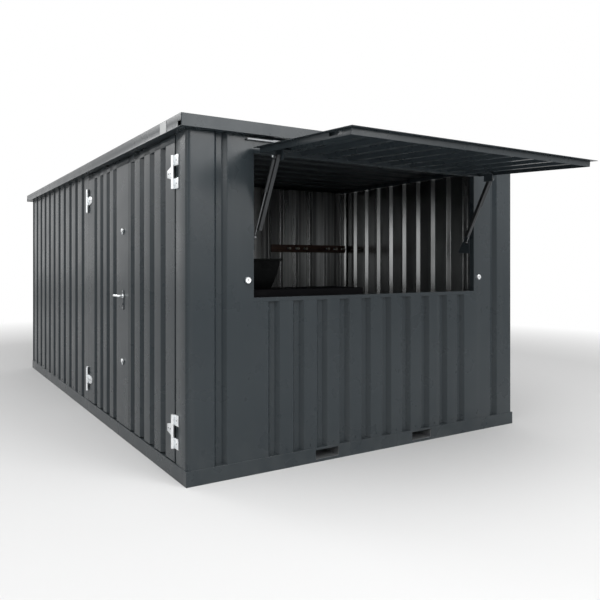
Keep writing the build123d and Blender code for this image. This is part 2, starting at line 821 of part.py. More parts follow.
with BuildPart() as stay_gussets:
    gusset_bottom = stay_foot.Z - gusset_half_height
    gusset_top = stay_foot.Z + gusset_half_height
    for _, side, inwards in stay_sides:
        web = side + inwards * gusset_inset
        web_end = web + inwards * gusset_sheet
        front_edge = jamb_back - gusset_overhang
        block(
            side - inwards * gusset_foot, web_end, jamb_back, jamb_back + gusset_sheet,
            gusset_bottom, gusset_top,
        )
        with BuildSketch(Plane((web, front_edge, gusset_bottom), x_dir=(0, 1, 0), z_dir=(1, 0, 0))):
            with BuildLine():
                Polyline(
                    (0, 0), (gusset_reach, 0), (gusset_reach, gusset_overhang),
                    (gusset_overhang + gusset_sheet, gusset_top - gusset_bottom),
                    (0, gusset_top - gusset_bottom), close=True,
                )
            make_face()
        extrude(amount=inwards * gusset_sheet)
finish(stay_gussets, "stay_gussets")

with BuildPart() as hatch_locks:
    for side, outwards in ((open_left, -1), (open_right, 1)):
        x = side + outwards * (hatch_side_lap + hatch_lock_gap + hatch_lock_radius)
        with Locations(Location((x, y_front - hatch_lock_out / 2, hatch_lock_height), (90, 0, 0))):
            Cylinder(hatch_lock_radius, hatch_lock_out)
finish(hatch_locks, "hatch_locks")

# Counter behind the hatch with a tapered tub on it
counter_left = open_left + counter_end_gap
counter_front = jamb_back + seat_gap
counter_top = opening_bottom + counter_rise
with BuildPart() as counter:
    block(
        counter_left, counter_left + counter_length, counter_front, counter_front + counter_depth,
        opening_bottom - counter_drop, counter_top,
    )
finish(counter, "counter")

tub_x = counter_left + tub_from_counter_end + tub_top_width / 2
tub_y = counter_front + tub_set_back + tub_top_depth / 2
with BuildPart() as tub:
    with BuildSketch(Plane((tub_x, tub_y, counter_top))):
        Rectangle(tub_bottom_width, tub_bottom_depth)
    with BuildSketch(Plane((tub_x, tub_y, counter_top + tub_height))):
        Rectangle(tub_top_width, tub_top_depth)
    loft()
    with BuildSketch(Plane((tub_x, tub_y, counter_top + tub_wall))):
        Rectangle(tub_bottom_width - 2 * tub_wall, tub_bottom_depth - 2 * tub_wall)
    with BuildSketch(Plane((tub_x, tub_y, counter_top + tub_height))):
        Rectangle(tub_top_width - 2 * tub_wall, tub_top_depth - 2 * tub_wall)
    loft(mode=Mode.SUBTRACT)
finish(tub, "tub")

# Board with coat hooks on the room divider
board_right = x_right - wall_depth
board_front = partition_front - board_thickness
with BuildPart() as hook_board:
    block(
        board_right - board_length, board_right, board_front, partition_front,
        board_centre_height - board_height / 2, board_centre_height + board_height / 2,
    )
finish(hook_board, "hook_board")

with BuildPart() as hooks:
    for group in range(hook_groups):
        for i in range(hooks_per_group):
            x = board_right - last_hook_inset - group * hook_group_spacing - i * hook_spacing
            with Locations(Location((x, board_front - hook_out / 2, board_centre_height), (90, 0, 0))):
                Cylinder(hook_stem_radius, hook_out)
            with Locations((x, board_front - hook_out, board_centre_height)):
                Sphere(hook_radius)
finish(hooks, "hooks")
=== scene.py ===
"""Looks of the container bar.

Painted ribbed steel, zinc hinges and locks, gas-spring stays and the fittings inside.
Metres, +Z up, +X to the right along the front with the serving hatch, +Y towards the rear.
"""
import json
from math import cos, pi, radians, sin

import bmesh
import bpy
from mathutils import Matrix, Vector


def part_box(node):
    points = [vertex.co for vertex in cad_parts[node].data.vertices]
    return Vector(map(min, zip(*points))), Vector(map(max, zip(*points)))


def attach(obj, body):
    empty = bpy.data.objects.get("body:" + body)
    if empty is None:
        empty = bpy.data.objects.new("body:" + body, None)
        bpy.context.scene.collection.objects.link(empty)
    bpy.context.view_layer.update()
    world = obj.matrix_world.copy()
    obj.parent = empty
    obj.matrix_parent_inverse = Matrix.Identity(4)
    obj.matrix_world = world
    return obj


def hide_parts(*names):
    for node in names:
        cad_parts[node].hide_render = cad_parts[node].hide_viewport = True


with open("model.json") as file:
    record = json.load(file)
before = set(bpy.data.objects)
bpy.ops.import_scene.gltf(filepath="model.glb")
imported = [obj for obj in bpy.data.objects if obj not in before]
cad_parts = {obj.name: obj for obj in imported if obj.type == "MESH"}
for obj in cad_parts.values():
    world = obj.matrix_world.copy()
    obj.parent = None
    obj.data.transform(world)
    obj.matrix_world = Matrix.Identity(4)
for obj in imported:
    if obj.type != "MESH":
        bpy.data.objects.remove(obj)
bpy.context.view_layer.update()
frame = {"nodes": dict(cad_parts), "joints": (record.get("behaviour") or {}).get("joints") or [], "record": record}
nodes = frame["nodes"]
record = frame["record"]
slot_of = {part["node"]: part["material_slot"] for part in record["subparts"]}
body_of = {node: body for body, held in record["behaviour"]["bodies"].items() for node in held}
joint_place = {joint["name"]: Vector(joint.get("pos_m") or (0, 0, 0)) for joint in frame["joints"]}
X, Y, Z = Vector((1, 0, 0)), Vector((0, 1, 0)), Vector((0, 0, 1))

# Camera, fitted to the photograph's edges
eye = Vector((-2.8991, -5.6873, 1.3089))
eye_turn = radians(30.045)
lens_mm = 36.55
sensor_mm = 36.0
shift_across = 0.0771
shift_up = -0.0595

# Ribbed sheet of the walls and doors
sheet = 0.002
groove_width = 0.085
groove_bottom = 0.038
groove_depth = 0.030
fold_radius = 0.006
fold_steps = 7
corners_per_groove = 4
rib_pitch = 0.189
right_first_groove = 0.047
left_pitch = 0.240
left_groove_width = 0.095
left_groove_bottom = 0.045
left_first_groove = 0.104
roof_pitch = 0.240
strip_groove_shift = 0.0085
jamb_width = 0.050

# Door leaves: first groove and pitch of each, flat rail, stiffener and folded sides
leaf_grooves = {"side_leaf": (0.190, 0.197), "main_leaf": (0.335, 0.180)}
leaf_top_rail = 0.049
leaf_rail_edge = 0.002
leaf_foot = 0.035
leaf_foot_edge = 0.001
folded_side = 0.003
folded_side_edge = 0.0012

# Rounding of the nodes that are shown as they are
edge_radii = {
    "base_rail_front": 0.0014, "base_rail_rear": 0.0014, "base_rails_side": 0.0014, "corner_posts": 0.0015,
    "door_posts": 0.002, "hatch_jambs": 0.003, "hatch_rails": 0.0014, "top_rails_side": 0.002,
    "top_rails_end": 0.002, "fascias_side": 0.0014, "fascias_end": 0.0014, "fascia_joint_cover": 0.0009,
    "fork_tunnels": 0.0012, "floor_joists": 0.002, "floor": 0.001, "hatch_side_flanges": 0.0012,
    "hatch_long_flanges": 0.0012, "spring_rod_left": 0.0008, "spring_rod_right": 0.0008, "counter": 0.005,
    "hook_board": 0.003, "hinge_plates_side_leaf": 0.0012, "hinge_plates_main_leaf": 0.0012,
    "door_hinge_posts": 0.0012, "hatch_hinge_posts": 0.001, "hatch_hinge_straps": 0.001,
}
stay_edge = 0.001
sharp_angle = radians(35)
flat_angle = radians(0.3)
weld_distance = 0.00001

# Screws and rivets
washer_sides = 14
strap_screw = {
    "head": 0.0048, "top": 0.0030, "height": 0.0022, "sides": 12, "washer": 0.0056, "washer_height": 0.0004,
    "seed": 3,
}
sheet_screw = {
    "head": 0.0042, "top": 0.0042, "height": 0.0030, "sides": 6, "washer": 0.0068, "washer_height": 0.0012,
    "seed": 5,
}
fascia_rivet = {
    "head": 0.0030, "top": 0.0016, "height": 0.0014, "sides": 12, "washer": 0.0042, "washer_height": 0.0005,
    "seed": 7,
}
hex_sides = 6
hinge_screw_sides = 14
plate_screw_sides = 12
screw_row_inset = 0.024
rivet_rise = 0.012
rivet_pair = (0.090, 0.125)
rivet_row_end = 0.60
rivet_row_count = 5

# Hinges, locks and lever of the doors
hinge_plate = 0.005
hinge_middles = (0.292, 1.870)
hinge_post_screw_out = 0.036
hinge_post_screw_rise = 0.0705
hinge_leaf_screws_from = 0.030
hinge_leaf_screws_to = 0.092
hinge_leaf_screws = 3
door_lock_radius = 0.024
lock_barrel_rise = 0.008
lock_tail_drop = 0.019
lock_tail_size = (0.013, 0.024, 0.006)
lever_plate_height = 0.150
lever_plate_size = (0.038, lever_plate_height, 0.016)
lever_plate_drop = 0.030
lever_plate_thickness = 0.004
plate_screw_inset = 0.012
keyhole_drop = 0.062
lever_neck = 0.030
lever_bend = 0.009
lever_bend_steps = 6
lever_bar_radius = 0.0082

# Lever, as radii at distances out of the door and then at distances along its grip
lever_spindle = ((0.001, 0.0095), (0.014, 0.0095))
lever_grip = (
    (0.040, 0.0086), (0.070, 0.0090), (0.100, 0.0088), (0.110, 0.0080), (0.1155, 0.0055), (0.118, 0.0020)
)

# Round parts, as radius and height from foot to top
pan_head = ((0.0052, 0), (0.0050, 0.0010), (0.0040, 0.0020), (0.0020, 0.0025), (0.0004, 0.0026))
hex_head = ((0.0080, 0), (0.0080, 0.0045), (0.0072, 0.0055), (0.0010, 0.0056))
lever_rose = ((0.0110, 0.002), (0.0165, 0.002), (0.0165, 0.0060), (0.0150, 0.0085), (0.0110, 0.0085))
keyhole_cover = ((0.0090, 0), (0.0090, 0.0068), (0.0080, 0.0078), (0.0020, 0.0080))
lock_cover = ((0.0240, 0), (0.0240, 0.0022), (0.0232, 0.0034), (0.0215, 0.0040), (0.0020, 0.0040))
lock_barrel = (
    (0.0150, 0.0030), (0.0150, 0.0110), (0.0143, 0.0138), (0.0125, 0.0154), (0.0095, 0.0160), (0.0020, 0.0160)
)
hatch_lock = (
    (0.0200, 0), (0.0200, 0.0120), (0.0188, 0.0150), (0.0170, 0.0160), (0.0158, 0.0160), (0.0152, 0.0150),
    (0.0020, 0.0148),
)
hook_stem = (
    (0.0120, 0), (0.0120, 0.0020), (0.0095, 0.0038), (0.0060, 0.0080), (0.0052, 0.0200), (0.0052, 0.0300)
)

# Rims of flat parts, as inset and height
lever_plate_rims = ((0, 0), (0, 0.0025), (0.0006, 0.0036), (0.0022, 0.0040))
lock_tail_rims = ((0, 0.0030), (0, 0.0085), (0.0010, 0.0100), (0.0026, 0.0105))

# Keyways, each from one corner to the other
keyhole_keyway = ((-0.0008, -0.0045, 0.0078), (0.0008, 0.0045, 0.0082))
barrel_keyway = ((-0.0010, -0.0050, 0.0158), (0.0010, 0.0050, 0.01605))
hatch_keyways = (
    ((-0.0065, 0.0020, 0.0145), (0.0045, 0.0052, 0.0153)),
    ((-0.0040, -0.0100, 0.0145), (-0.0006, 0.0025, 0.0153)),
)
hatch_keyway_edge = 0.0002
hatch_lock_sides = 40

# Fittings beside and behind the hatch
stay_foot_in = 0.045
stay_foot_drop = 0.558
gusset_inset = 0.016
hatch_lock_radius = 0.020
rain_strip_half = 1.056
rain_strip_foot = 2.078
rain_strip_head = 2.090
rain_strip_out = 0.020
rain_strip_sheet = 0.002
rain_strip_edge = 0.0006
hook_ball = 0.015
hook_ball_start_degrees = -68
hook_ball_step_degrees = 19.5
hook_ball_rings = 9
hook_sides = 20
hook_out = 0.040
hook_groups = 2
hooks_per_group = 3
hook_spacing = 0.107
hook_group_spacing = 0.510
tub_foot_width = 0.190
tub_foot_depth = 0.160
tub_wall = 0.004
tub_rim = 0.007
tub_grip_drops = (0.034, 0.054)
tub_grip_half_width = 0.030
tub_grip_half_height = 0.003
tub_grip_out = 0.003
tub_grip_in = 0.004
tub_grip_edge = 0.002

# Rubber seals of the doors, as distances from the post, the leaf and the wall they lie on
post_seal_depths = (0.009, 0.0125)
post_seal_side = 0.001
post_seal_end = 0.004
post_seal_edge = 0.001
leaf_seal_depths = (0.014, 0.026)
leaf_seal_past_leaf = (-0.0005, 0.0055)
leaf_seal_end = 0.006
leaf_seal_edge = 0.0015

# Serving hatch, on its own plane: X as in the row, reach away from its axis, level above its axis
hatch_open_angle = radians(87)
hatch_level = -0.005
hatch_sheet = 0.003
hatch_rib_depth = 0.026
hatch_start = 0.012
hatch_reach = 0.966
hatch_field_near = 0.050
hatch_field_far = 0.926
hatch_border_edge = 0.0008

# Studio
studio_floor_half = 60.0
lit_floor_radius = 5.0
white_floor_radius = 9.0
fill_light = 0.5


def feed(tree, socket, value):
    """Gives a socket a value, or a link from another socket or from a node's first output."""
    if isinstance(value, bpy.types.Node):
        value = value.outputs[0]
    if isinstance(value, bpy.types.NodeSocket):
        tree.links.new(value, socket)
    else:
        socket.default_value = value


def place(tree, kind, inputs=None, **settings):
    """Adds a node to a tree, with its settings and what feeds its inputs."""
    added = tree.nodes.new(kind)
    for name, value in settings.items():
        setattr(added, name, value)
    for name, value in (inputs or {}).items():
        feed(tree, added.inputs[name], value)
    return added


def maths(tree, operation, first, second=0.0):
    """One sum of a tree."""
    return place(tree, "ShaderNodeMath", {0: first, 1: second}, operation=operation)


def shade(colour, factor):
    """A colour made darker or lighter by a factor."""
    return tuple(factor * part for part in colour)


# Materials
class Finish:
    """A material whose looks come from noise on the object's own coordinates."""

    def __init__(self, name, colour, roughness, metallic=0.0, gloss=0.5):
        self.material = bpy.data.materials.new(name)
        self.material.use_nodes = True
        self.tree = self.material.node_tree
        self.tree.nodes.clear()
        self.shader = place(
            self.tree, "ShaderNodeBsdfPrincipled", {"Metallic": metallic, "Specular IOR Level": gloss}
        )
        self.output = place(self.tree, "ShaderNodeOutputMaterial", {"Surface": self.shader})
        self.point = place(self.tree, "ShaderNodeTexCoord").outputs["Object"]
        self.colour = (*colour, 1)
        self.roughness = roughness
        self.normal = None

    def noise(self, scale, detail=3.0, stretch=(1, 1, 1)):
        """Soft noise from 0 to 1, stretched along an axis where a number is under 1."""
        moved = place(self.tree, "ShaderNodeMapping", {"Vector": self.point, "Scale": stretch})
        return place(self.tree, "ShaderNodeTexNoise", {"Vector": moved, "Scale": scale, "Detail": detail})

    def cells(self, scale, output="Color", stretch=(1, 1, 1)):
        """Cells with a random value each, as zinc crystals have, or the distance to their middles."""
        moved = place(self.tree, "ShaderNodeMapping", {"Vector": self.point, "Scale": stretch})
        cell = place(self.tree, "ShaderNodeTexVoronoi", {"Vector": moved, "Scale": scale})
        if output == "Distance":
            return cell.outputs["Distance"]
        return place(self.tree, "ShaderNodeSeparateColor", {0: cell.outputs["Color"]})

    def spread(self, value, from_low, from_high, low=0.0, high=1.0):
        """Maps a value from one range to another and keeps it there."""
        return place(self.tree, "ShaderNodeMapRange", {
            "Value": value, "From Min": from_low, "From Max": from_high, "To Min": low, "To Max": high,
        })

    def tint(self, share, colour):
        """Lays another colour over the present one by a share."""
        mixer = place(
            self.tree, "ShaderNodeMix", {0: share, 6: self.colour, 7: (*colour, 1)}, data_type="RGBA"
        )
        self.colour = mixer.outputs[2]

    def patches(self, value, low, high, share, colour):
        """Lays another colour over the present one, up to a share, where a noise rises from low to high."""
        self.tint(self.spread(value, low, high, 0, share), colour)

    def relief(self, height, distance):
        """Adds a bump of this height in metres."""
        inputs = {"Height": height, "Distance": distance, "Strength": 1.0}
        if self.normal:
            inputs["Normal"] = self.normal
        self.normal = place(self.tree, "ShaderNodeBump", inputs)

    def height(self):
        """Height above the ground."""
        return place(self.tree, "ShaderNodeSeparateXYZ", {0: self.point}).outputs[2]

    def done(self):
        """Puts the colour, roughness and bump on the shader."""
        feed(self.tree, self.shader.inputs["Base Color"], self.colour)
        feed(self.tree, self.shader.inputs["Roughness"], self.roughness)
        if self.normal:
            feed(self.tree, self.shader.inputs["Normal"], self.normal)
        return self.material


def painted(name, colour, lighter, dust, roughness, waviness):
    """Sprayed paint on thin sheet: cloudy shade, faint rain streaks, dust near the ground, slightly wavy."""
    streak_share = 0.16
    dust_share = 0.26
    dust_height = 0.35
    coat = Finish(name, colour, 0.4, gloss=0.28)
    coat.patches(coat.noise(1.6, 4), 0.35, 0.68, 1, lighter)
    coat.patches(coat.noise(1.0, 4, stretch=(16, 16, 0.45)), 0.55, 0.85, streak_share, dust)
    low_dust = coat.spread(coat.height(), 0.0, dust_height, dust_share, 0.0)
    patchy = coat.spread(coat.noise(9, 5), 0.3, 0.75)
    coat.tint(maths(coat.tree, "MULTIPLY", low_dust, patchy), dust)
    coat.roughness = coat.spread(coat.noise(5, 4), 0.3, 0.7, *roughness)
    coat.relief(coat.noise(2.3, 1), waviness)
    coat.relief(coat.noise(420, 2), 0.00006)
    return coat.done()


def galvanised(name, colour):
    """Hot-dip zinc: crystals of slightly different grey and a dull bloom."""
    zinc = Finish(name, colour, 0.5, metallic=0.85)
    zinc.patches(zinc.cells(70), 0.2, 0.9, 0.6, shade(colour, 1.4))
    zinc.patches(zinc.noise(14, 5), 0.5, 0.8, 0.5, shade(colour, 0.7))
    zinc.roughness = zinc.spread(zinc.cells(70), 0, 1, 0.36, 0.58)
    zinc.relief(zinc.noise(160, 3), 0.0001)
    return zinc.done()


def bright_zinc(name, colour, roughness):
    """Bright plated steel, with fine drawn lines and a few duller spots."""
    plate = Finish(name, colour, 0.3, metallic=1.0)
    plate.patches(plate.noise(55, 5), 0.52, 0.8, 0.7, shade(colour, 0.72))
    plate.roughness = plate.spread(plate.noise(90, 4, stretch=(1, 1, 0.2)), 0.3, 0.7, *roughness)
    plate.relief(plate.noise(900, 2, stretch=(1, 1, 0.1)), 0.00003)
    return plate.done()


def bare_sheet(name, colour, roughness, painted_shade_bands=0.0):
    """Zinc-coated sheet as rolled: faint spangle, dull patches and rolling marks, with upright dark bands of
    painted shade standing in for the shade on the ribs.
    """
    zinc = Finish(name, colour, 0.25, metallic=1.0)
    zinc.patches(zinc.cells(38, stretch=(1, 1, 0.5)), 0.1, 0.9, 0.2, shade(colour, 0.83))
    zinc.patches(zinc.noise(3, 5, stretch=(1, 1, 0.3)), 0.45, 0.75, 0.7, shade(colour, 0.53))
    # Upright dark bands: painted shade, as strong as the share given
    zinc.patches(zinc.noise(7, 3, stretch=(1, 1, 0.02)), 0.42, 0.58, painted_shade_bands, shade(colour, 0.25))
    zinc.roughness = zinc.spread(zinc.noise(14, 4, stretch=(1, 1, 0.03)), 0.3, 0.7, *roughness)
    zinc.relief(zinc.noise(2.6, 1), 0.002)
    return zinc.done()


def rubber():
    """Black sealing rubber, chalky in places; the keyways get it too, as painted shade for their dark slots."""
    seal = Finish("rubber_and_keyhole_shade", (0.010, 0.010, 0.011), 0.7)
    seal.patches(seal.noise(40, 4), 0.5, 0.8, 0.5, (0.03, 0.03, 0.03))
    seal.roughness = seal.spread(seal.noise(25, 3), 0.3, 0.7, 0.6, 0.8)
    seal.relief(seal.noise(600, 2), 0.00008)
    return seal.done()


def laminate():
    """Black counter laminate, made darker still as painted shade for the shadow inside the bar: fine pearl grain,
    wiped clean, with faint scuffs.
    """
    top = Finish("counter_laminate", (0.0035, 0.0035, 0.0040), 0.35, gloss=0.02)
    top.patches(top.noise(1400, 2), 0.62, 0.8, 0.35, (0.020, 0.020, 0.021))
    top.patches(top.noise(30, 6, stretch=(0.2, 1, 1)), 0.58, 0.8, 0.4, (0.012, 0.012, 0.012))
    top.roughness = top.spread(top.noise(12, 4), 0.3, 0.7, 0.42, 0.60)
    top.relief(top.noise(1400, 2), 0.00004)
    return top.done()


def moulded():
    """Black moulded plastic with a fine spark-eroded grain, made darker still as painted shade for the shadow
    inside the bar.
    """
    shell = Finish("tub_plastic", (0.0028, 0.0032, 0.0032), 0.5, gloss=0.02)
    shell.patches(shell.noise(18, 5), 0.5, 0.8, 0.4, (0.010, 0.010, 0.011))
    shell.roughness = shell.spread(shell.noise(60, 3), 0.3, 0.7, 0.4, 0.58)
    shell.relief(shell.cells(1100, "Distance"), 0.00008)
    return shell.done()


def stained_board():
    """Dark stained softwood: paler long grain and darker pores."""
    wood = Finish("stained_board", (0.055, 0.024, 0.014), 0.5)
    wood.patches(wood.noise(26, 6, stretch=(0.06, 1, 1)), 0.42, 0.72, 1, (0.115, 0.052, 0.030))
    wood.patches(wood.noise(160, 4, stretch=(0.03, 1, 1)), 0.55, 0.72, 0.8, (0.022, 0.010, 0.007))
    wood.roughness = wood.spread(wood.noise(40, 4, stretch=(0.1, 1, 1)), 0.3, 0.7, 0.38, 0.6)
    wood.relief(wood.noise(160, 4, stretch=(0.03, 1, 1)), 0.0003)
    return wood.done()


def faced_ply():
    """Film-faced floor board: brown film with a pressed wire pattern, seams across it and trodden dust."""
    board_width = 1.25
    seam_width = 0.004
    wire_pitch = 0.008
    board = Finish("faced_ply", (0.060, 0.036, 0.024), 0.5)
    board.patches(board.noise(3, 6), 0.4, 0.75, 1, (0.105, 0.072, 0.052))
    board.patches(board.noise(24, 6), 0.55, 0.8, 0.6, (0.15, 0.135, 0.115))
    parts = place(board.tree, "ShaderNodeSeparateXYZ", {0: board.point})
    x, y = parts.outputs[0], parts.outputs[1]
    from_seam = maths(board.tree, "PINGPONG", y, board_width / 2)
    board.tint(board.spread(from_seam, 0.0, seam_width, 0.9, 0.0), (0.008, 0.006, 0.005))
    rising, falling = (
        maths(board.tree, "PINGPONG", maths(board.tree, way, x, y), wire_pitch / 2)
        for way in ("ADD", "SUBTRACT")
    )
    wires = maths(board.tree, "MINIMUM", rising, falling)
    board.relief(board.spread(wires, 0.0, 0.0012, 0, 1), 0.0003)
    board.roughness = board.spread(board.noise(8, 5), 0.3, 0.7, 0.42, 0.68)
    return board.done()


finish_of = {
    "anthracite_paint": painted(
        "anthracite_paint", colour=(0.0240, 0.0315, 0.0365), lighter=(0.0285, 0.0365, 0.0415),
        dust=(0.085, 0.090, 0.090), roughness=(0.25, 0.33), waviness=0.003,
    ),
    "roof_sheet": painted(
        "roof_paint", colour=(0.026, 0.032, 0.036), lighter=(0.032, 0.038, 0.042),
        dust=(0.065, 0.066, 0.064), roughness=(0.50, 0.64), waviness=0.003,
    ),
    "cover_strip": painted(
        "cover_strip_paint", colour=(0.40, 0.41, 0.41), lighter=(0.46, 0.47, 0.47),
        dust=(0.34, 0.33, 0.31), roughness=(0.35, 0.50), waviness=0.001,
    ),
    "galvanised_steel": galvanised("galvanised_steel", (0.30, 0.31, 0.32)),
    "zinc_sheet": bare_sheet("bare_zinc_sheet", (0.42, 0.43, 0.43), (0.17, 0.28)),
    "zinc_hardware": bright_zinc("zinc_hardware", (0.90, 0.92, 0.93), (0.28, 0.46)),
    "polished_rod": bright_zinc("polished_rod", (0.16, 0.165, 0.17), (0.18, 0.30)),
    "floor_board": faced_ply(),
    "counter_black": laminate(),
    "tub_black": moulded(),
    "board_wood": stained_board(),
}
rubber_and_keyhole_shade = rubber()
# The divider's sheet carries strong upright bands of painted shade
divider_zinc = bare_sheet("divider_zinc", (0.54, 0.55, 0.55), (0.24, 0.36), painted_shade_bands=0.85)
# Light ivory hook balls: partly their colour, partly a painted highlight standing in for the bright reflections on
# them
hook_ivory_painted_highlight = painted(
    "hook_ivory_painted_highlight", colour=(0.84, 0.80, 0.72), lighter=(0.90, 0.87, 0.80), dust=(0.70, 0.66, 0.58),
    roughness=(0.18, 0.28), waviness=0.0,
)
# Dark grey steel of the stays and spring tubes: partly their own dull colour, partly painted shade matched to
# their look in the hatch's shadow
stay_steel_painted_shade = galvanised("stay_steel_painted_shade", (0.055, 0.058, 0.061))
# Screw heads in a darker zinc: painted shade that stands in for the shadow in their recesses
screw_zinc_painted_shade = bright_zinc("screw_zinc_painted_shade", (0.30, 0.31, 0.32), (0.30, 0.45))


# Geometry Nodes trees
def new_tree(name, inputs):
    """An empty tree with these named inputs and one geometry output."""
    tree = bpy.data.node_groups.new(name, "GeometryNodeTree")
    tree.interface.new_socket("Geometry", in_out="OUTPUT", socket_type="NodeSocketGeometry")
    for label, kind in inputs:
        tree.interface.new_socket(label, in_out="INPUT", socket_type=f"NodeSocket{kind}")
    return tree, tree.nodes.new("NodeGroupInput").outputs


def close_tree(tree, geometry, finish, back=None):
    """Ends a tree in real meshes with their finish, and with another one on faces that look along its Y."""
    real = place(tree, "GeometryNodeRealizeInstances", {0: geometry})
    coated = place(tree, "GeometryNodeSetMaterial", {"Geometry": real, "Material": finish})
    if back:
        normal = place(tree, "GeometryNodeInputNormal")
        along = place(tree, "ShaderNodeSeparateXYZ", {0: normal}).outputs[1]
        inner_side = maths(tree, "GREATER_THAN", along, 0.01)
        coated = place(
            tree, "GeometryNodeSetMaterial", {"Geometry": coated, "Selection": inner_side, "Material": back}
        )
    place(tree, "NodeGroupOutput", {0: coated})
    return tree


def ribbed_sheet_tree():
    """A sheet with folded grooves.

    Its section is drawn by index, its folds are rounded, then it is raised and thickened.
    """
    tree, sizes = new_tree("ribbed_sheet", (
        ("Span", "Float"), ("Height", "Float"), ("First Groove", "Float"), ("Pitch", "Float"),
        ("Grooves", "Int"), ("Groove Width", "Float"), ("Groove Bottom", "Float"), ("Groove Depth", "Float"),
        ("Fold Radius", "Float"), ("Fold Steps", "Int"), ("Thickness", "Float"), ("Finish", "Material"),
        ("Back Finish", "Material"),
    ))
    last = maths(tree, "ADD", maths(tree, "MULTIPLY", sizes["Grooves"], corners_per_groove), 1)
    count = maths(tree, "ADD", last, 1)
    line = place(tree, "GeometryNodeMeshLine", {"Count": count, "Offset": (1, 0, 0)}, mode="OFFSET")
    index = place(tree, "GeometryNodeInputIndex")
    corner = maths(tree, "SUBTRACT", index, 1)
    groove = maths(tree, "FLOOR", maths(tree, "DIVIDE", corner, corners_per_groove))
    passed = maths(tree, "MULTIPLY", groove, corners_per_groove)
    in_groove = maths(tree, "SUBTRACT", corner, passed)
    from_middle = maths(tree, "SUBTRACT", in_groove, (corners_per_groove - 1) / 2)
    lower = maths(tree, "LESS_THAN", maths(tree, "ABSOLUTE", from_middle), 1)
    width = place(
        tree, "GeometryNodeSwitch", {0: lower, 1: sizes["Groove Width"], 2: sizes["Groove Bottom"]},
        input_type="FLOAT",
    )
    offset = maths(tree, "MULTIPLY", maths(tree, "SIGN", from_middle), maths(tree, "DIVIDE", width, 2))
    centre = maths(tree, "ADD", sizes["First Groove"], maths(tree, "MULTIPLY", groove, sizes["Pitch"]))
    across = maths(tree, "ADD", centre, offset)
    starts = maths(tree, "LESS_THAN", index, 0.5)
    ends = maths(tree, "GREATER_THAN", index, maths(tree, "SUBTRACT", last, 0.5))
    for at_edge, edge in ((starts, 0.0), (ends, sizes["Span"])):
        across = place(tree, "GeometryNodeSwitch", {0: at_edge, 1: across, 2: edge}, input_type="FLOAT")
    at_end = maths(tree, "MAXIMUM", starts, ends)
    low = maths(tree, "MULTIPLY", lower, maths(tree, "SUBTRACT", 1, at_end))
    deep = maths(tree, "MULTIPLY", low, sizes["Groove Depth"])
    corner_place = place(tree, "ShaderNodeCombineXYZ", {0: across, 1: deep})
    section = place(tree, "GeometryNodeSetPosition", {"Geometry": line, "Position": corner_place})
    curve = place(tree, "GeometryNodeMeshToCurve", {0: section})
    rounded = place(tree, "GeometryNodeFilletCurve", {
        "Curve": curve, "Count": sizes["Fold Steps"], "Radius": sizes["Fold Radius"],
        "Limit Radius": True,
    }, mode="POLY")
    wire = place(tree, "GeometryNodeCurveToMesh", {0: rounded})
    rise = place(tree, "ShaderNodeCombineXYZ", {2: sizes["Height"]})
    raising = {"Mesh": wire, "Offset": rise, "Offset Scale": 1.0}
    face = place(tree, "GeometryNodeExtrudeMesh", raising, mode="EDGES")
    depth = place(tree, "ShaderNodeCombineXYZ", {1: sizes["Thickness"]})
    thickening = {"Mesh": face, "Offset": depth, "Offset Scale": 1.0, "Individual": False}
    inner = place(tree, "GeometryNodeExtrudeMesh", thickening, mode="FACES")
    outer = place(tree, "GeometryNodeFlipFaces", {0: face})
    both = place(tree, "GeometryNodeJoinGeometry", {0: inner})
    feed(tree, both.inputs[0], outer)
    welded = place(tree, "GeometryNodeMergeByDistance", {"Geometry": both, "Distance": weld_distance})
    return close_tree(tree, welded, sizes["Finish"], sizes["Back Finish"])


def fastener_row_tree():
    """Screw or rivet heads on washers, evenly spaced from a start to an end and facing one way."""
    tree, sizes = new_tree("fastener_row", (
        ("Start", "Vector"), ("End", "Vector"), ("Count", "Int"), ("Facing", "Vector"), ("Sides", "Int"),
        ("Head Radius", "Float"), ("Head Top", "Float"), ("Head Height", "Float"), ("Washer Radius", "Float"),
        ("Washer Height", "Float"), ("Seed", "Int"), ("Finish", "Material"),
    ))
    row = place(tree, "GeometryNodeMeshLine", {
        "Count": sizes["Count"], "Start Location": sizes["Start"], "Offset": sizes["End"],
    }, mode="END_POINTS")
    washer = place(tree, "GeometryNodeMeshCylinder", {
        "Vertices": washer_sides, "Radius": sizes["Washer Radius"],
        "Depth": maths(tree, "MULTIPLY", sizes["Washer Height"], 2),
    })
    head = place(tree, "GeometryNodeMeshCone", {
        "Vertices": sizes["Sides"], "Radius Top": sizes["Head Top"], "Radius Bottom": sizes["Head Radius"],
        "Depth": sizes["Head Height"],
    })
    seat = place(tree, "ShaderNodeCombineXYZ", {2: sizes["Washer Height"]})
    raised = place(tree, "GeometryNodeTransform", {"Geometry": head, "Translation": seat})
    screw = place(tree, "GeometryNodeJoinGeometry", {0: washer})
    feed(tree, screw.inputs[0], raised)
    twist = place(
        tree, "FunctionNodeRandomValue", {2: 0.0, 3: 2 * pi, "Seed": sizes["Seed"]}, data_type="FLOAT"
    ).outputs[1]
    spun = place(tree, "FunctionNodeAxisAngleToRotation", {"Axis": (0, 0, 1), "Angle": twist})
    aimed = place(tree, "FunctionNodeAlignRotationToVector", {"Vector": sizes["Facing"]}, axis="Z")
    rotation = place(tree, "FunctionNodeRotateRotation", {0: aimed, 1: spun}, rotation_space="LOCAL")
    heads = place(tree, "GeometryNodeInstanceOnPoints", {
        "Points": row, "Instance": screw, "Rotation": rotation,
    })
    return close_tree(tree, heads, sizes["Finish"])


ribbed_tree = ribbed_sheet_tree()
fastener_tree = fastener_row_tree()


def linked(name, data):
    """Adds an object to the scene."""
    added = bpy.data.objects.new(name, data)
    bpy.context.collection.objects.link(added)
    return added


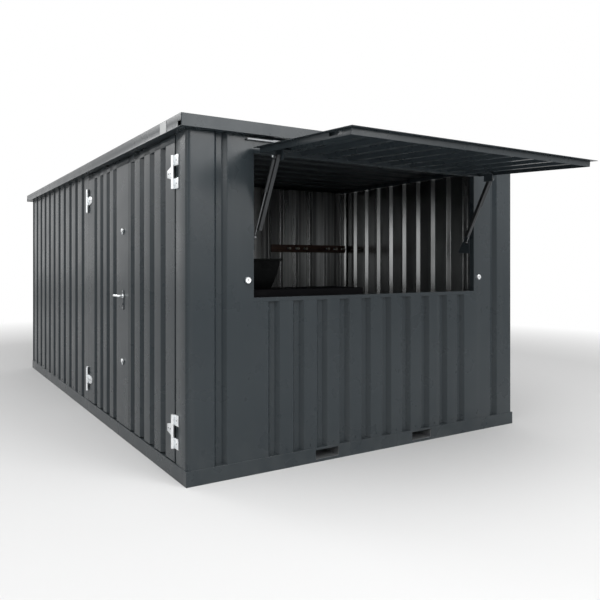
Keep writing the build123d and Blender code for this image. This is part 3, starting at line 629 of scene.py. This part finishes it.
def grown(tree, settings):
    """Runs a tree with these settings and returns the result as a plain mesh."""
    seed = linked("seed", bpy.data.meshes.new("seed"))
    modifier = seed.modifiers.new("tree", "NODES")
    modifier.node_group = tree
    for item in tree.interface.items_tree:
        if item.in_out == "INPUT" and item.name in settings:
            modifier[item.identifier] = settings[item.name]
    graph = bpy.context.evaluated_depsgraph_get()
    mesh = bpy.data.meshes.new_from_object(seed.evaluated_get(graph), depsgraph=graph)
    seed.modifiers.clear()
    bpy.data.objects.remove(seed)
    return mesh


# Mesh pieces
def piece(name, meshes, body, slot, stands_for=(), finish=None, back=None, smooth=25):
    """Joins meshes into one object that rides on a body and keeps a second finish where they have it."""
    shape = bmesh.new()
    for mesh in meshes:
        backed = [index for index, given in enumerate(mesh.materials) if back and given == back]
        for face in mesh.polygons:
            face.material_index = int(face.material_index in backed)
        shape.from_mesh(mesh)
    bmesh.ops.recalc_face_normals(shape, faces=shape.faces)
    joined = bpy.data.meshes.new(name)
    shape.to_mesh(joined)
    shape.free()
    joined.materials.append(finish or finish_of[slot])
    if back:
        joined.materials.append(back)
    joined.shade_smooth()
    joined.set_sharp_from_angle(angle=radians(smooth))
    made = linked(name, joined)
    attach(made, body)
    if stands_for:
        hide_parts(*stands_for)


def soft_edges(shape, edge, steps=2):
    """Rounds the sharp edges of a shape."""
    sharp = [e for e in shape.edges if e.is_manifold and e.calc_face_angle(0) > sharp_angle]
    bmesh.ops.bevel(
        shape, geom=sharp, offset=edge, segments=steps, profile=0.5, affect="EDGES", clamp_overlap=True
    )


def to_mesh(shape, place_at=None):
    """Turns a shape into a mesh, moved to its place."""
    mesh = bpy.data.meshes.new("part")
    shape.to_mesh(mesh)
    shape.free()
    if place_at is not None:
        mesh.transform(place_at)
    return mesh


def rounded_node(node, edge, finish=None):
    """Shows a CAD node's own shape, merged and with its sharp edges rounded."""
    shape = bmesh.new()
    shape.from_mesh(nodes[node].data)
    bmesh.ops.remove_doubles(shape, verts=shape.verts, dist=weld_distance)
    bmesh.ops.dissolve_limit(shape, angle_limit=flat_angle, verts=shape.verts, edges=shape.edges)
    soft_edges(shape, edge)
    piece(f"{node}_rounded", [to_mesh(shape)], body_of[node], slot_of[node], [node], finish)


def box(low, high, edge=0.001, steps=2, place_at=None):
    """A box between two corners with rounded edges."""
    shape = bmesh.new()
    middle = (Vector(low) + Vector(high)) / 2
    size = Vector(high) - Vector(low)
    bmesh.ops.create_cube(shape, size=1, matrix=Matrix.Translation(middle) @ Matrix.Diagonal((*size, 1)))
    if edge:
        soft_edges(shape, edge, steps)
    return to_mesh(shape, place_at)


def facing(point, direction):
    """Place of a thing whose own +Z points along a direction."""
    return Matrix.Translation(Vector(point)) @ Vector(direction).to_track_quat("Z", "Y").to_matrix().to_4x4()


def swept(points, radii, sides=16):
    """A round bar through points, with its own radius at each one."""
    points = [Vector(point) for point in points]
    across = None
    loops = []
    for i, (point, radius) in enumerate(zip(points, radii)):
        ahead = (points[min(i + 1, len(points) - 1)] - points[max(i - 1, 0)]).normalized()
        across = across or ahead.orthogonal()
        across = (across - ahead * across.dot(ahead)).normalized()
        up = ahead.cross(across)
        angles = [2 * pi * step / sides for step in range(sides)]
        loops.append([point + radius * (cos(angle) * across + sin(angle) * up) for angle in angles])
    return lofted(loops)


def lofted(loops, place_at=None, ring=False):
    """A closed body through loops of points, or a ring whose last loop joins its first."""
    shape = bmesh.new()
    rows = [[shape.verts.new(point) for point in loop] for loop in loops]
    if ring:
        rows.append(rows[0])
    for lower, upper in zip(rows, rows[1:]):
        for i in range(len(lower)):
            j = (i + 1) % len(lower)
            shape.faces.new((lower[i], lower[j], upper[j], upper[i]))
    if not ring:
        shape.faces.new(rows[0][::-1])
        shape.faces.new(rows[-1])
    return to_mesh(shape, place_at)


def turned(outline, place_at, sides=28, ring=False):
    """A round body or ring: its outline gives radius and height from foot to top."""
    angles = [2 * pi * i / sides for i in range(sides)]
    return lofted([
        [(radius * cos(angle), radius * sin(angle), height) for angle in angles] for radius, height in outline
    ], place_at, ring)


def rounded_rectangle(width, depth, corner, height, steps=6):
    """Points round a rectangle with rounded corners, at one height."""
    points = []
    for quarter in range(4):
        x = (width / 2 - corner) * (1 if quarter in (0, 3) else -1)
        y = (depth / 2 - corner) * (1 if quarter in (0, 1) else -1)
        for step in range(steps + 1):
            angle = (quarter + step / steps) * pi / 2
            points.append((x + corner * cos(angle), y + corner * sin(angle), height))
    return points


def flat_part(size, rims, place_at):
    """A plate with rounded corners, whose rims step in as they rise."""
    width, height, corner = size
    return lofted([
        rounded_rectangle(width - 2 * inset, height - 2 * inset, corner - inset, level)
        for inset, level in rims
    ], place_at)


def grooves_in(span, pitch, first=None, groove=groove_width, reverse=False):
    """First groove and number of grooves: in the middle of the span, or counted from a given first one."""
    if first is None:
        count = int(span / pitch)
        first = span / 2 - (count - 1) / 2 * pitch
    else:
        count = 1 + int((span - first - groove / 2) / pitch)
    return (span - first - (count - 1) * pitch if reverse else first), count


def ribbed(corner, across, inwards, span, height, pitch, first=None, reverse=False, thickness=sheet,
           groove=groove_width, bottom=groove_bottom, depth=groove_depth):
    """A ribbed sheet that starts at a corner, runs across and rises at right angles to it."""
    start, count = grooves_in(span, pitch, first, groove, reverse)
    mesh = grown(ribbed_tree, {
        "Span": span, "Height": height, "First Groove": start, "Pitch": pitch, "Grooves": count,
        "Groove Width": groove, "Groove Bottom": bottom, "Groove Depth": depth, "Fold Radius": fold_radius,
        "Fold Steps": fold_steps, "Thickness": thickness, "Finish": finish_of["anthracite_paint"],
        "Back Finish": finish_of["zinc_sheet"],
    })
    turn = Matrix((across, inwards, across.cross(inwards))).transposed().to_4x4()
    mesh.transform(Matrix.Translation(Vector(corner)) @ turn)
    return mesh


def fasteners(start, end, count, direction, head, top, height, sides, washer, washer_height, seed):
    """A row of screw or rivet heads, as a mesh."""
    return grown(fastener_tree, {
        "Start": Vector(start), "End": Vector(end), "Count": count, "Facing": Vector(direction),
        "Sides": sides, "Head Radius": head, "Head Top": top, "Head Height": height, "Washer Radius": washer,
        "Washer Height": washer_height, "Seed": seed, "Finish": finish_of["zinc_hardware"],
    })


def wall(name, node, sheets, body="container"):
    """A wall or leaf of ribbed sheets, painted outside and bare zinc inside."""
    piece(name, sheets, body, "anthracite_paint", [node], back=finish_of["zinc_sheet"])


def door_leaf(body, low, high):
    """A leaf: ribbed sheet, a flat top rail, a stiffener behind its foot and folded side edges."""
    first, pitch = leaf_grooves[body]
    rail = high.z - leaf_top_rail
    back = x_left + groove_depth + sheet
    parts = [
        ribbed((x_left, high.y, low.z), -Y, X, high.y - low.y, high.z - low.z, pitch, first, reverse=True),
        box((x_left, low.y, rail), (high.x, high.y, high.z), leaf_rail_edge),
        box((back, low.y, low.z), (high.x, high.y, low.z + leaf_foot), leaf_foot_edge),
        box((x_left, low.y, low.z), (high.x, low.y + folded_side, high.z), folded_side_edge),
        box((x_left, high.y - folded_side, low.z), (high.x, high.y, high.z), folded_side_edge),
    ]
    wall(f"{body}_panel", f"door_{body}", parts, body)


def screw_row(corner, across, outwards, span, pitch, height, **grooves):
    """A row of sheet screws at one height, one in each flat between two grooves."""
    start, count = grooves_in(span, pitch, **grooves)
    begin = Vector((*corner, height)) + across * (start + pitch / 2)
    return fasteners(begin, begin + across * pitch * (count - 2), count - 1, outwards, **sheet_screw)


def full_wall(node, corner, across, inwards, span, pitch, bottom=groove_bottom, **grooves):
    """A ribbed wall from foot to top, which returns the rows of screws near both."""
    wall(f"{node}_sheet", node, [ribbed(
        (*corner, wall_foot), across, inwards, span, wall_height, pitch, bottom=bottom, **grooves
    )])
    return [
        screw_row(corner, across, -inwards, span, pitch, height, **grooves)
        for height in (wall_foot + screw_row_inset, wall_top - screw_row_inset)
    ]


# Places read from the frame
front_low, front_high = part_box("front_wall_lower")
left_low, left_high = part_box("left_wall")
right_low, right_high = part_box("right_wall")
rear_low, rear_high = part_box("rear_wall")
roof_low, roof_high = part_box("roof_sheet")
divider_low, divider_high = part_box("partition")
side_leaf_low, side_leaf_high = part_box("door_side_leaf")
lock_low, lock_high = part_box("door_lock_plates")
flanges_low, flanges_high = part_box("hatch_side_flanges")
border_low, border_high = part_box("hatch_skin")
bracket_low, bracket_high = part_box("hatch_brackets")
hatch_lock_low, hatch_lock_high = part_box("hatch_locks")
hooks_low, hooks_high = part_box("hooks")
tub_low, tub_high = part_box("tub")
fascia_low, fascia_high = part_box("fascias_end")
side_fascia_low, side_fascia_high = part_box("fascias_side")
door_post_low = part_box("door_posts")[0]
strip_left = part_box("front_wall_sides")[0].x
hatch_axis = joint_place["hatch_swing"]
lever_spot = joint_place["lever_turn"]
x_left, x_right = left_low.x, right_high.x
y_front, y_rear = front_low.y, rear_high.y
wall_foot, wall_top = left_low.z, left_high.z
wall_height = wall_top - wall_foot
open_left, open_right = front_low.x, front_high.x

# Walls with their screws, divider and roof
opening = open_right - open_left
screw_rows = [
    *full_wall(
        "left_wall", (x_left, left_high.y), -Y, X, left_high.y - left_low.y, left_pitch, left_groove_bottom,
        first=left_first_groove, groove=left_groove_width, reverse=True,
    ),
    *full_wall(
        "right_wall", (x_right, right_low.y), Y, -X, right_high.y - right_low.y, rib_pitch,
        first=right_first_groove,
    ),
    *full_wall("rear_wall", (rear_high.x, y_rear), -X, -Y, rear_high.x - rear_low.x, rib_pitch),
    screw_row((open_left, y_front), X, -Y, opening, rib_pitch, wall_foot + screw_row_inset),
]
wall("front_wall_lower_sheet", "front_wall_lower", [
    ribbed((open_left, y_front, wall_foot), X, Y, opening, front_high.z - wall_foot, rib_pitch)
])
bay = open_left - strip_left
strip_groove = (bay - jamb_width) / 2 + strip_groove_shift
wall("front_wall_side_sheets", "front_wall_sides", [
    ribbed((x, y_front, wall_foot), X, Y, bay, wall_height, rib_pitch, first)
    for x, first in ((strip_left, strip_groove), (open_right, bay - strip_groove))
])
piece("divider_sheet", [ribbed(
    divider_low, X, Y, divider_high.x - divider_low.x, divider_high.z - divider_low.z, rib_pitch,
)], "container", "zinc_sheet", ["partition"], finish=divider_zinc)
piece("roof_ribbed_sheet", [ribbed(
    roof_low, Y, Z, roof_high.y - roof_low.y, roof_high.x - roof_low.x, roof_pitch,
)], "container", "roof_sheet", ["roof_sheet"])

# Frame, fascias, hinges, counter and stays, as in the frame but with rounded edges
for node, edge in edge_radii.items():
    rounded_node(node, edge)
for node in ("stay_strut_left", "stay_strut_right", "spring_tube_left", "spring_tube_right"):
    rounded_node(node, stay_edge, finish=stay_steel_painted_shade)
for node in ("stay_gussets", "hatch_brackets"):
    rounded_node(node, stay_edge, finish=finish_of["anthracite_paint"])

for body in leaf_grooves:
    door_leaf(body, *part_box(f"door_{body}"))

# Serving hatch: ribbed field with a flat border
hatch_place = Matrix.Translation(hatch_axis) @ Matrix((
    (1, 0, 0, 0),
    (0, sin(hatch_open_angle), -cos(hatch_open_angle), 0),
    (0, cos(hatch_open_angle), sin(hatch_open_angle), 0),
    (0, 0, 0, 1),
))
hatch_field = ribbed(
    (flanges_low.x, -hatch_field_far, hatch_level), X, -Z, flanges_high.x - flanges_low.x,
    hatch_field_far - hatch_field_near, rib_pitch, thickness=hatch_sheet, depth=hatch_rib_depth,
)
hatch_field.transform(hatch_place)
hatch_parts = [hatch_field]
for x0, x1, reach0, reach1 in (
    (border_low.x, border_high.x, hatch_start, hatch_field_near),
    (border_low.x, border_high.x, hatch_field_far, hatch_reach),
    (border_low.x, flanges_low.x, hatch_field_near, hatch_field_far),
    (flanges_high.x, border_high.x, hatch_field_near, hatch_field_far),
):
    hatch_parts.append(box(
        (x0, -reach1, hatch_level - hatch_sheet), (x1, -reach0, hatch_level), hatch_border_edge,
        place_at=hatch_place,
    ))
piece("hatch_panel", hatch_parts, "hatch", "anthracite_paint", ["hatch_skin"])

# Bolts of the stays, in the brackets under the hatch and in the gussets
stay_top = joint_place["spring_left_swing"]
stay_foot_height = hatch_axis.z - stay_foot_drop
piece("stay_top_bolts", [
    turned(hex_head, facing((x, stay_top.y, stay_top.z), way), hex_sides)
    for x, way in ((bracket_low.x, -X), (bracket_high.x, X))
], "hatch", "zinc_hardware")
piece("stay_foot_bolts", [
    turned(hex_head, facing((x, y_front + stay_foot_in, stay_foot_height), way), hex_sides)
    for x, way in ((open_left + gusset_inset, -X), (open_right - gusset_inset, X))
], "container", "zinc_hardware")

# Screws of the door hinges
hinge_face = x_left - hinge_plate
for leaf, to_post in (("side_leaf", -1), ("main_leaf", 1)):
    hinge_line = joint_place[f"{leaf}_swing"].y
    post_screws, leaf_screws = [], []
    for middle in hinge_middles:
        for rise in (-hinge_post_screw_rise, hinge_post_screw_rise):
            spot = (hinge_face, hinge_line + to_post * hinge_post_screw_out, middle + rise)
            post_screws.append(turned(pan_head, facing(spot, -X), hinge_screw_sides))
        first, last = (
            (hinge_face, hinge_line - to_post * away, middle)
            for away in (hinge_leaf_screws_from, hinge_leaf_screws_to)
        )
        leaf_screws.append(fasteners(first, last, hinge_leaf_screws, -X, **strap_screw))
    piece(f"{leaf}_hinge_post_screws", post_screws, "container", "zinc_hardware", finish=screw_zinc_painted_shade)
    piece(f"{leaf}_hinge_leaf_screws", leaf_screws, leaf, "zinc_hardware", finish=screw_zinc_painted_shade)

# Locks and lever plate of the main leaf
lever_plate = facing((x_left, lever_spot.y, lever_spot.z - lever_plate_drop), -X)
keyhole_at = facing(lever_spot - Z * keyhole_drop, -X)
cover_plates = [flat_part(lever_plate_size, lever_plate_rims, lever_plate), turned(keyhole_cover, keyhole_at)]
lock_parts = [turned(lever_rose, facing(lever_spot, -X), ring=True)]
keyways = [box(*keyhole_keyway, 0, place_at=keyhole_at)]
for middle in (lock_low.z + door_lock_radius, lock_high.z - door_lock_radius):
    lock_at = facing((x_left, lever_spot.y, middle), -X)
    barrel_at = lock_at @ Matrix.Translation((0, lock_barrel_rise, 0))
    tail_at = lock_at @ Matrix.Translation((0, lock_barrel_rise - lock_tail_drop, 0))
    cover_plates.append(turned(lock_cover, lock_at))
    lock_parts += [turned(lock_barrel, barrel_at), flat_part(lock_tail_size, lock_tail_rims, tail_at)]
    keyways.append(box(*barrel_keyway, 0, place_at=barrel_at))
piece("lock_cover_plates", cover_plates, "main_leaf", "anthracite_paint")
piece("door_locks", lock_parts, "main_leaf", "zinc_hardware", ["door_lock_plates"])
# Keyways as black slivers: painted shade for the dark slots of the keyholes
piece("door_keyways", keyways, "main_leaf", "zinc_hardware", finish=rubber_and_keyhole_shade)
plate_screw_out = lever_plate_height / 2 - plate_screw_inset
piece("lever_plate_screws", [
    turned(pan_head, lever_plate @ Matrix.Translation((0, rise, lever_plate_thickness)), plate_screw_sides)
    for rise in (-plate_screw_out, plate_screw_out)
], "main_leaf", "zinc_hardware", finish=screw_zinc_painted_shade)

# Lever handle: out of its rose, round a bend and along the door
lever_bar = [((x_left - out, lever_spot.y, lever_spot.z), radius) for out, radius in lever_spindle]
for step in range(lever_bend_steps + 1):
    angle = step / lever_bend_steps * pi / 2
    out = lever_neck + lever_bend * sin(angle)
    along = lever_bend * (1 - cos(angle))
    lever_bar.append(((x_left - out, lever_spot.y + along, lever_spot.z), lever_bar_radius))
lever_bar += [
    ((x_left - lever_neck - lever_bend, lever_spot.y + along, lever_spot.z), radius)
    for along, radius in lever_grip
]
piece("lever_handle", [swept(*zip(*lever_bar))], "lever", "zinc_hardware", ["door_lever"], smooth=60)

# Round locks beside the hatch, with their keyways drawn as black slivers of painted shade
hatch_lock_height = (hatch_lock_low.z + hatch_lock_high.z) / 2
hatch_lock_places = [
    facing((x, y_front, hatch_lock_height), -Y)
    for x in (hatch_lock_low.x + hatch_lock_radius, hatch_lock_high.x - hatch_lock_radius)
]
piece("hatch_lock_bodies", [
    turned(hatch_lock, lock_at, hatch_lock_sides) for lock_at in hatch_lock_places
], "container", "zinc_hardware", ["hatch_locks"])
# Keyways as black slivers: painted shade for the dark slots of the keyholes
piece("hatch_lock_keyways", [
    box(*keyway, hatch_keyway_edge, 1, lock_at) for lock_at in hatch_lock_places for keyway in hatch_keyways
], "container", "zinc_hardware", finish=rubber_and_keyhole_shade)

# Coat hooks: a rose, a stem and a ball on the board
hook_height = (hooks_low.z + hooks_high.z) / 2
hook_places = [
    facing((
        hooks_high.x - hook_ball - group * hook_group_spacing - i * hook_spacing, hooks_high.y, hook_height
    ), -Y)
    for group in range(hook_groups) for i in range(hooks_per_group)
]
ball_angles = [
    radians(hook_ball_start_degrees + step * hook_ball_step_degrees) for step in range(hook_ball_rings)
]
ball = [(hook_ball * cos(angle), hook_out + hook_ball * sin(angle)) for angle in ball_angles]
piece("hook_stems", [
    turned(hook_stem, hook_at, hook_sides) for hook_at in hook_places
], "container", "zinc_hardware")
piece("hook_balls", [
    turned(ball, hook_at, hook_sides) for hook_at in hook_places
], "container", "zinc_hardware", ["hooks"], finish=hook_ivory_painted_highlight, smooth=60)

# Tub on the counter, with a grip on its front: up its outside, over its rim and down its inside, each loop by
# the size it starts from, what is added, its corner radius and its height
tub_middle = Matrix.Translation(((tub_low.x + tub_high.x) / 2, (tub_low.y + tub_high.y) / 2, tub_low.z))
tub_width, tub_depth, tub_height = tub_high - tub_low
rim = (tub_width, tub_depth)
shell = (tub_width - 2 * tub_rim, tub_depth - 2 * tub_rim)
foot = (tub_foot_width - tub_wall, tub_foot_depth - tub_wall)
tub_parts = [lofted([
    rounded_rectangle(width + wider, depth + deeper, corner, height)
    for (width, depth), wider, deeper, corner, height in (
        (foot, -0.050, -0.050, 0.016, 0.0),
        (foot, -0.040, -0.040, 0.020, 0.004),
        (foot, -0.006, -0.006, 0.030, 0.050),
        (foot, 0.030, 0.022, 0.034, 0.105),
        (shell, -0.006, -0.006, 0.034, tub_height - 0.014),
        (rim, 0, 0, 0.032, tub_height - 0.012),
        (rim, 0, 0, 0.032, tub_height - 0.002),
        (rim, -0.004, -0.004, 0.030, tub_height),
        (shell, -2 * tub_wall, -2 * tub_wall, 0.022, tub_height),
        (foot, 0.020, 0.012, 0.026, 0.105),
        (foot, -0.052, -0.052, 0.016, tub_wall),
    )
], tub_middle)]
tub_slope = (shell[1] - foot[1]) / 2 / tub_height
for drop in tub_grip_drops:
    front = tub_slope * drop - shell[1] / 2
    level = tub_height - drop
    tub_parts.append(box(
        (-tub_grip_half_width, front - tub_grip_out, level - tub_grip_half_height),
        (tub_grip_half_width, front + tub_grip_in, level + tub_grip_half_height),
        tub_grip_edge, place_at=tub_middle,
    ))
piece("moulded_tub", tub_parts, "container", "tub_black", ["tub"], smooth=40)

# Rain strip over the hatch, a flat with a lip, and rubber seals at the doors
strip_front = y_front - rain_strip_out
piece("rain_strip", [
    box((-rain_strip_half, strip_front, rain_strip_foot), (rain_strip_half, y, z), rain_strip_edge)
    for y, z in (
        (y_front, rain_strip_foot + rain_strip_sheet), (strip_front + rain_strip_sheet, rain_strip_head)
    )
], "container", "galvanised_steel")
x0, x1 = (door_post_low.x + depth for depth in post_seal_depths)
y0, y1 = door_post_low.y + post_seal_side, joint_place["side_leaf_swing"].y - post_seal_side
piece("post_seal", [
    box((x0, y0, wall_foot + post_seal_end), (x1, y1, wall_top - post_seal_end), post_seal_edge)
], "container", "anthracite_paint", finish=rubber_and_keyhole_shade)
x0, x1 = (x_left + depth for depth in leaf_seal_depths)
y0, y1 = (side_leaf_high.y + past for past in leaf_seal_past_leaf)
piece("leaf_seal", [
    box((x0, y0, side_leaf_low.z + leaf_seal_end), (x1, y1, side_leaf_high.z - leaf_seal_end), leaf_seal_edge)
], "side_leaf", "anthracite_paint", finish=rubber_and_keyhole_shade)

# Painted screws of the walls
piece("wall_screws", screw_rows, "container", "anthracite_paint")

# Rivets in the front and left fascias: a pair at each end and a row between
rivet_rows = []
rivet_corner = Vector((side_fascia_low.x, fascia_low.y, wall_top + rivet_rise))
for across, outwards, span in (
    (X, -Y, side_fascia_high.x - side_fascia_low.x), (Y, -X, fascia_high.y - fascia_low.y)
):
    near, far = rivet_pair
    for first, last, count in (
        (near, far, 2), (span - far, span - near, 2), (rivet_row_end, span - rivet_row_end, rivet_row_count)
    ):
        rivet_rows.append(fasteners(
            rivet_corner + across * first, rivet_corner + across * last, count, outwards, **fascia_rivet,
        ))
piece("fascia_rivets", rivet_rows, "container", "anthracite_paint")

# Camera
camera_data = bpy.data.cameras.new("camera")
camera_data.lens = lens_mm
camera_data.sensor_width = sensor_mm
camera_data.shift_x = shift_across
camera_data.shift_y = shift_up
camera = linked("camera", camera_data)
camera.location = eye
camera.rotation_euler = (pi / 2, 0, -eye_turn)
bpy.context.scene.camera = camera

# Floor, which fades to white for the camera and keeps the shadow
floor_finish = Finish("studio_floor", (0.70, 0.70, 0.70), 0.9)
floor_finish.patches(floor_finish.noise(0.6, 3), 0.3, 0.7, 0.5, (0.68, 0.68, 0.68))
floor_look = floor_finish.done()
floor_tree = floor_finish.tree
away = place(floor_tree, "ShaderNodeVectorMath", {0: floor_finish.point}, operation="LENGTH").outputs["Value"]
fading = floor_finish.spread(away, lit_floor_radius, white_floor_radius)
seen_floor = place(floor_tree, "ShaderNodeLightPath").outputs["Is Camera Ray"]
plain_white = place(floor_tree, "ShaderNodeEmission", {"Strength": 1.0})
faded = maths(floor_tree, "MULTIPLY", fading, seen_floor)
floor_mix = place(floor_tree, "ShaderNodeMixShader", {0: faded, 1: floor_finish.shader, 2: plain_white})
feed(floor_tree, floor_finish.output.inputs["Surface"], floor_mix)
floor_shape = bmesh.new()
bmesh.ops.create_grid(floor_shape, x_segments=1, y_segments=1, size=studio_floor_half)
studio_floor = linked("studio_floor", to_mesh(floor_shape))
studio_floor.data.materials.append(floor_look)

# World: white to the camera, in reflections and through glass, and a dimmer light on the rest
world = bpy.data.worlds.new("studio")
bpy.context.scene.world = world
world.use_nodes = True
air = world.node_tree
air.nodes.clear()
rays = place(air, "ShaderNodeLightPath")
white = maths(air, "MAXIMUM", rays.outputs["Is Camera Ray"], rays.outputs["Is Glossy Ray"])
white = maths(air, "MAXIMUM", white, rays.outputs["Is Transmission Ray"])
strength = place(
    air, "ShaderNodeMath", {0: white, 1: 1 - fill_light, 2: fill_light}, operation="MULTIPLY_ADD"
)
sky = place(air, "ShaderNodeBackground", {"Color": (1.0, 1.0, 1.0, 1), "Strength": strength})
place(air, "ShaderNodeOutputWorld", {0: sky})

# Lamps, by where they are, where they aim, their width and their power
for name, place_at, aim, size, power in (
    ("sky_lamp", (-2.0, -4.5, 7.0), (0, -1.5, 0.8), 6.0, 400),
    ("front_lamp", (2.5, -9.0, 4.5), (0, -2.4, 1.4), 4.0, 290),
    ("corner_lamp", (-10.5, -6.2, 4.2), (-1.5, -2.4, 1.9), 2.5, 110),
    ("left_lamp", (-7.5, 12.0, 8.0), (-1.5, -2.0, 2.4), 5.0, 460),
):
    light = bpy.data.lights.new(name, "AREA")
    light.shape = "SQUARE"
    light.size = size
    light.energy = power
    lamp = linked(name, light)
    lamp.matrix_world = facing(place_at, Vector(place_at) - Vector(aim))

bpy.context.scene.view_settings.view_transform = "Standard"
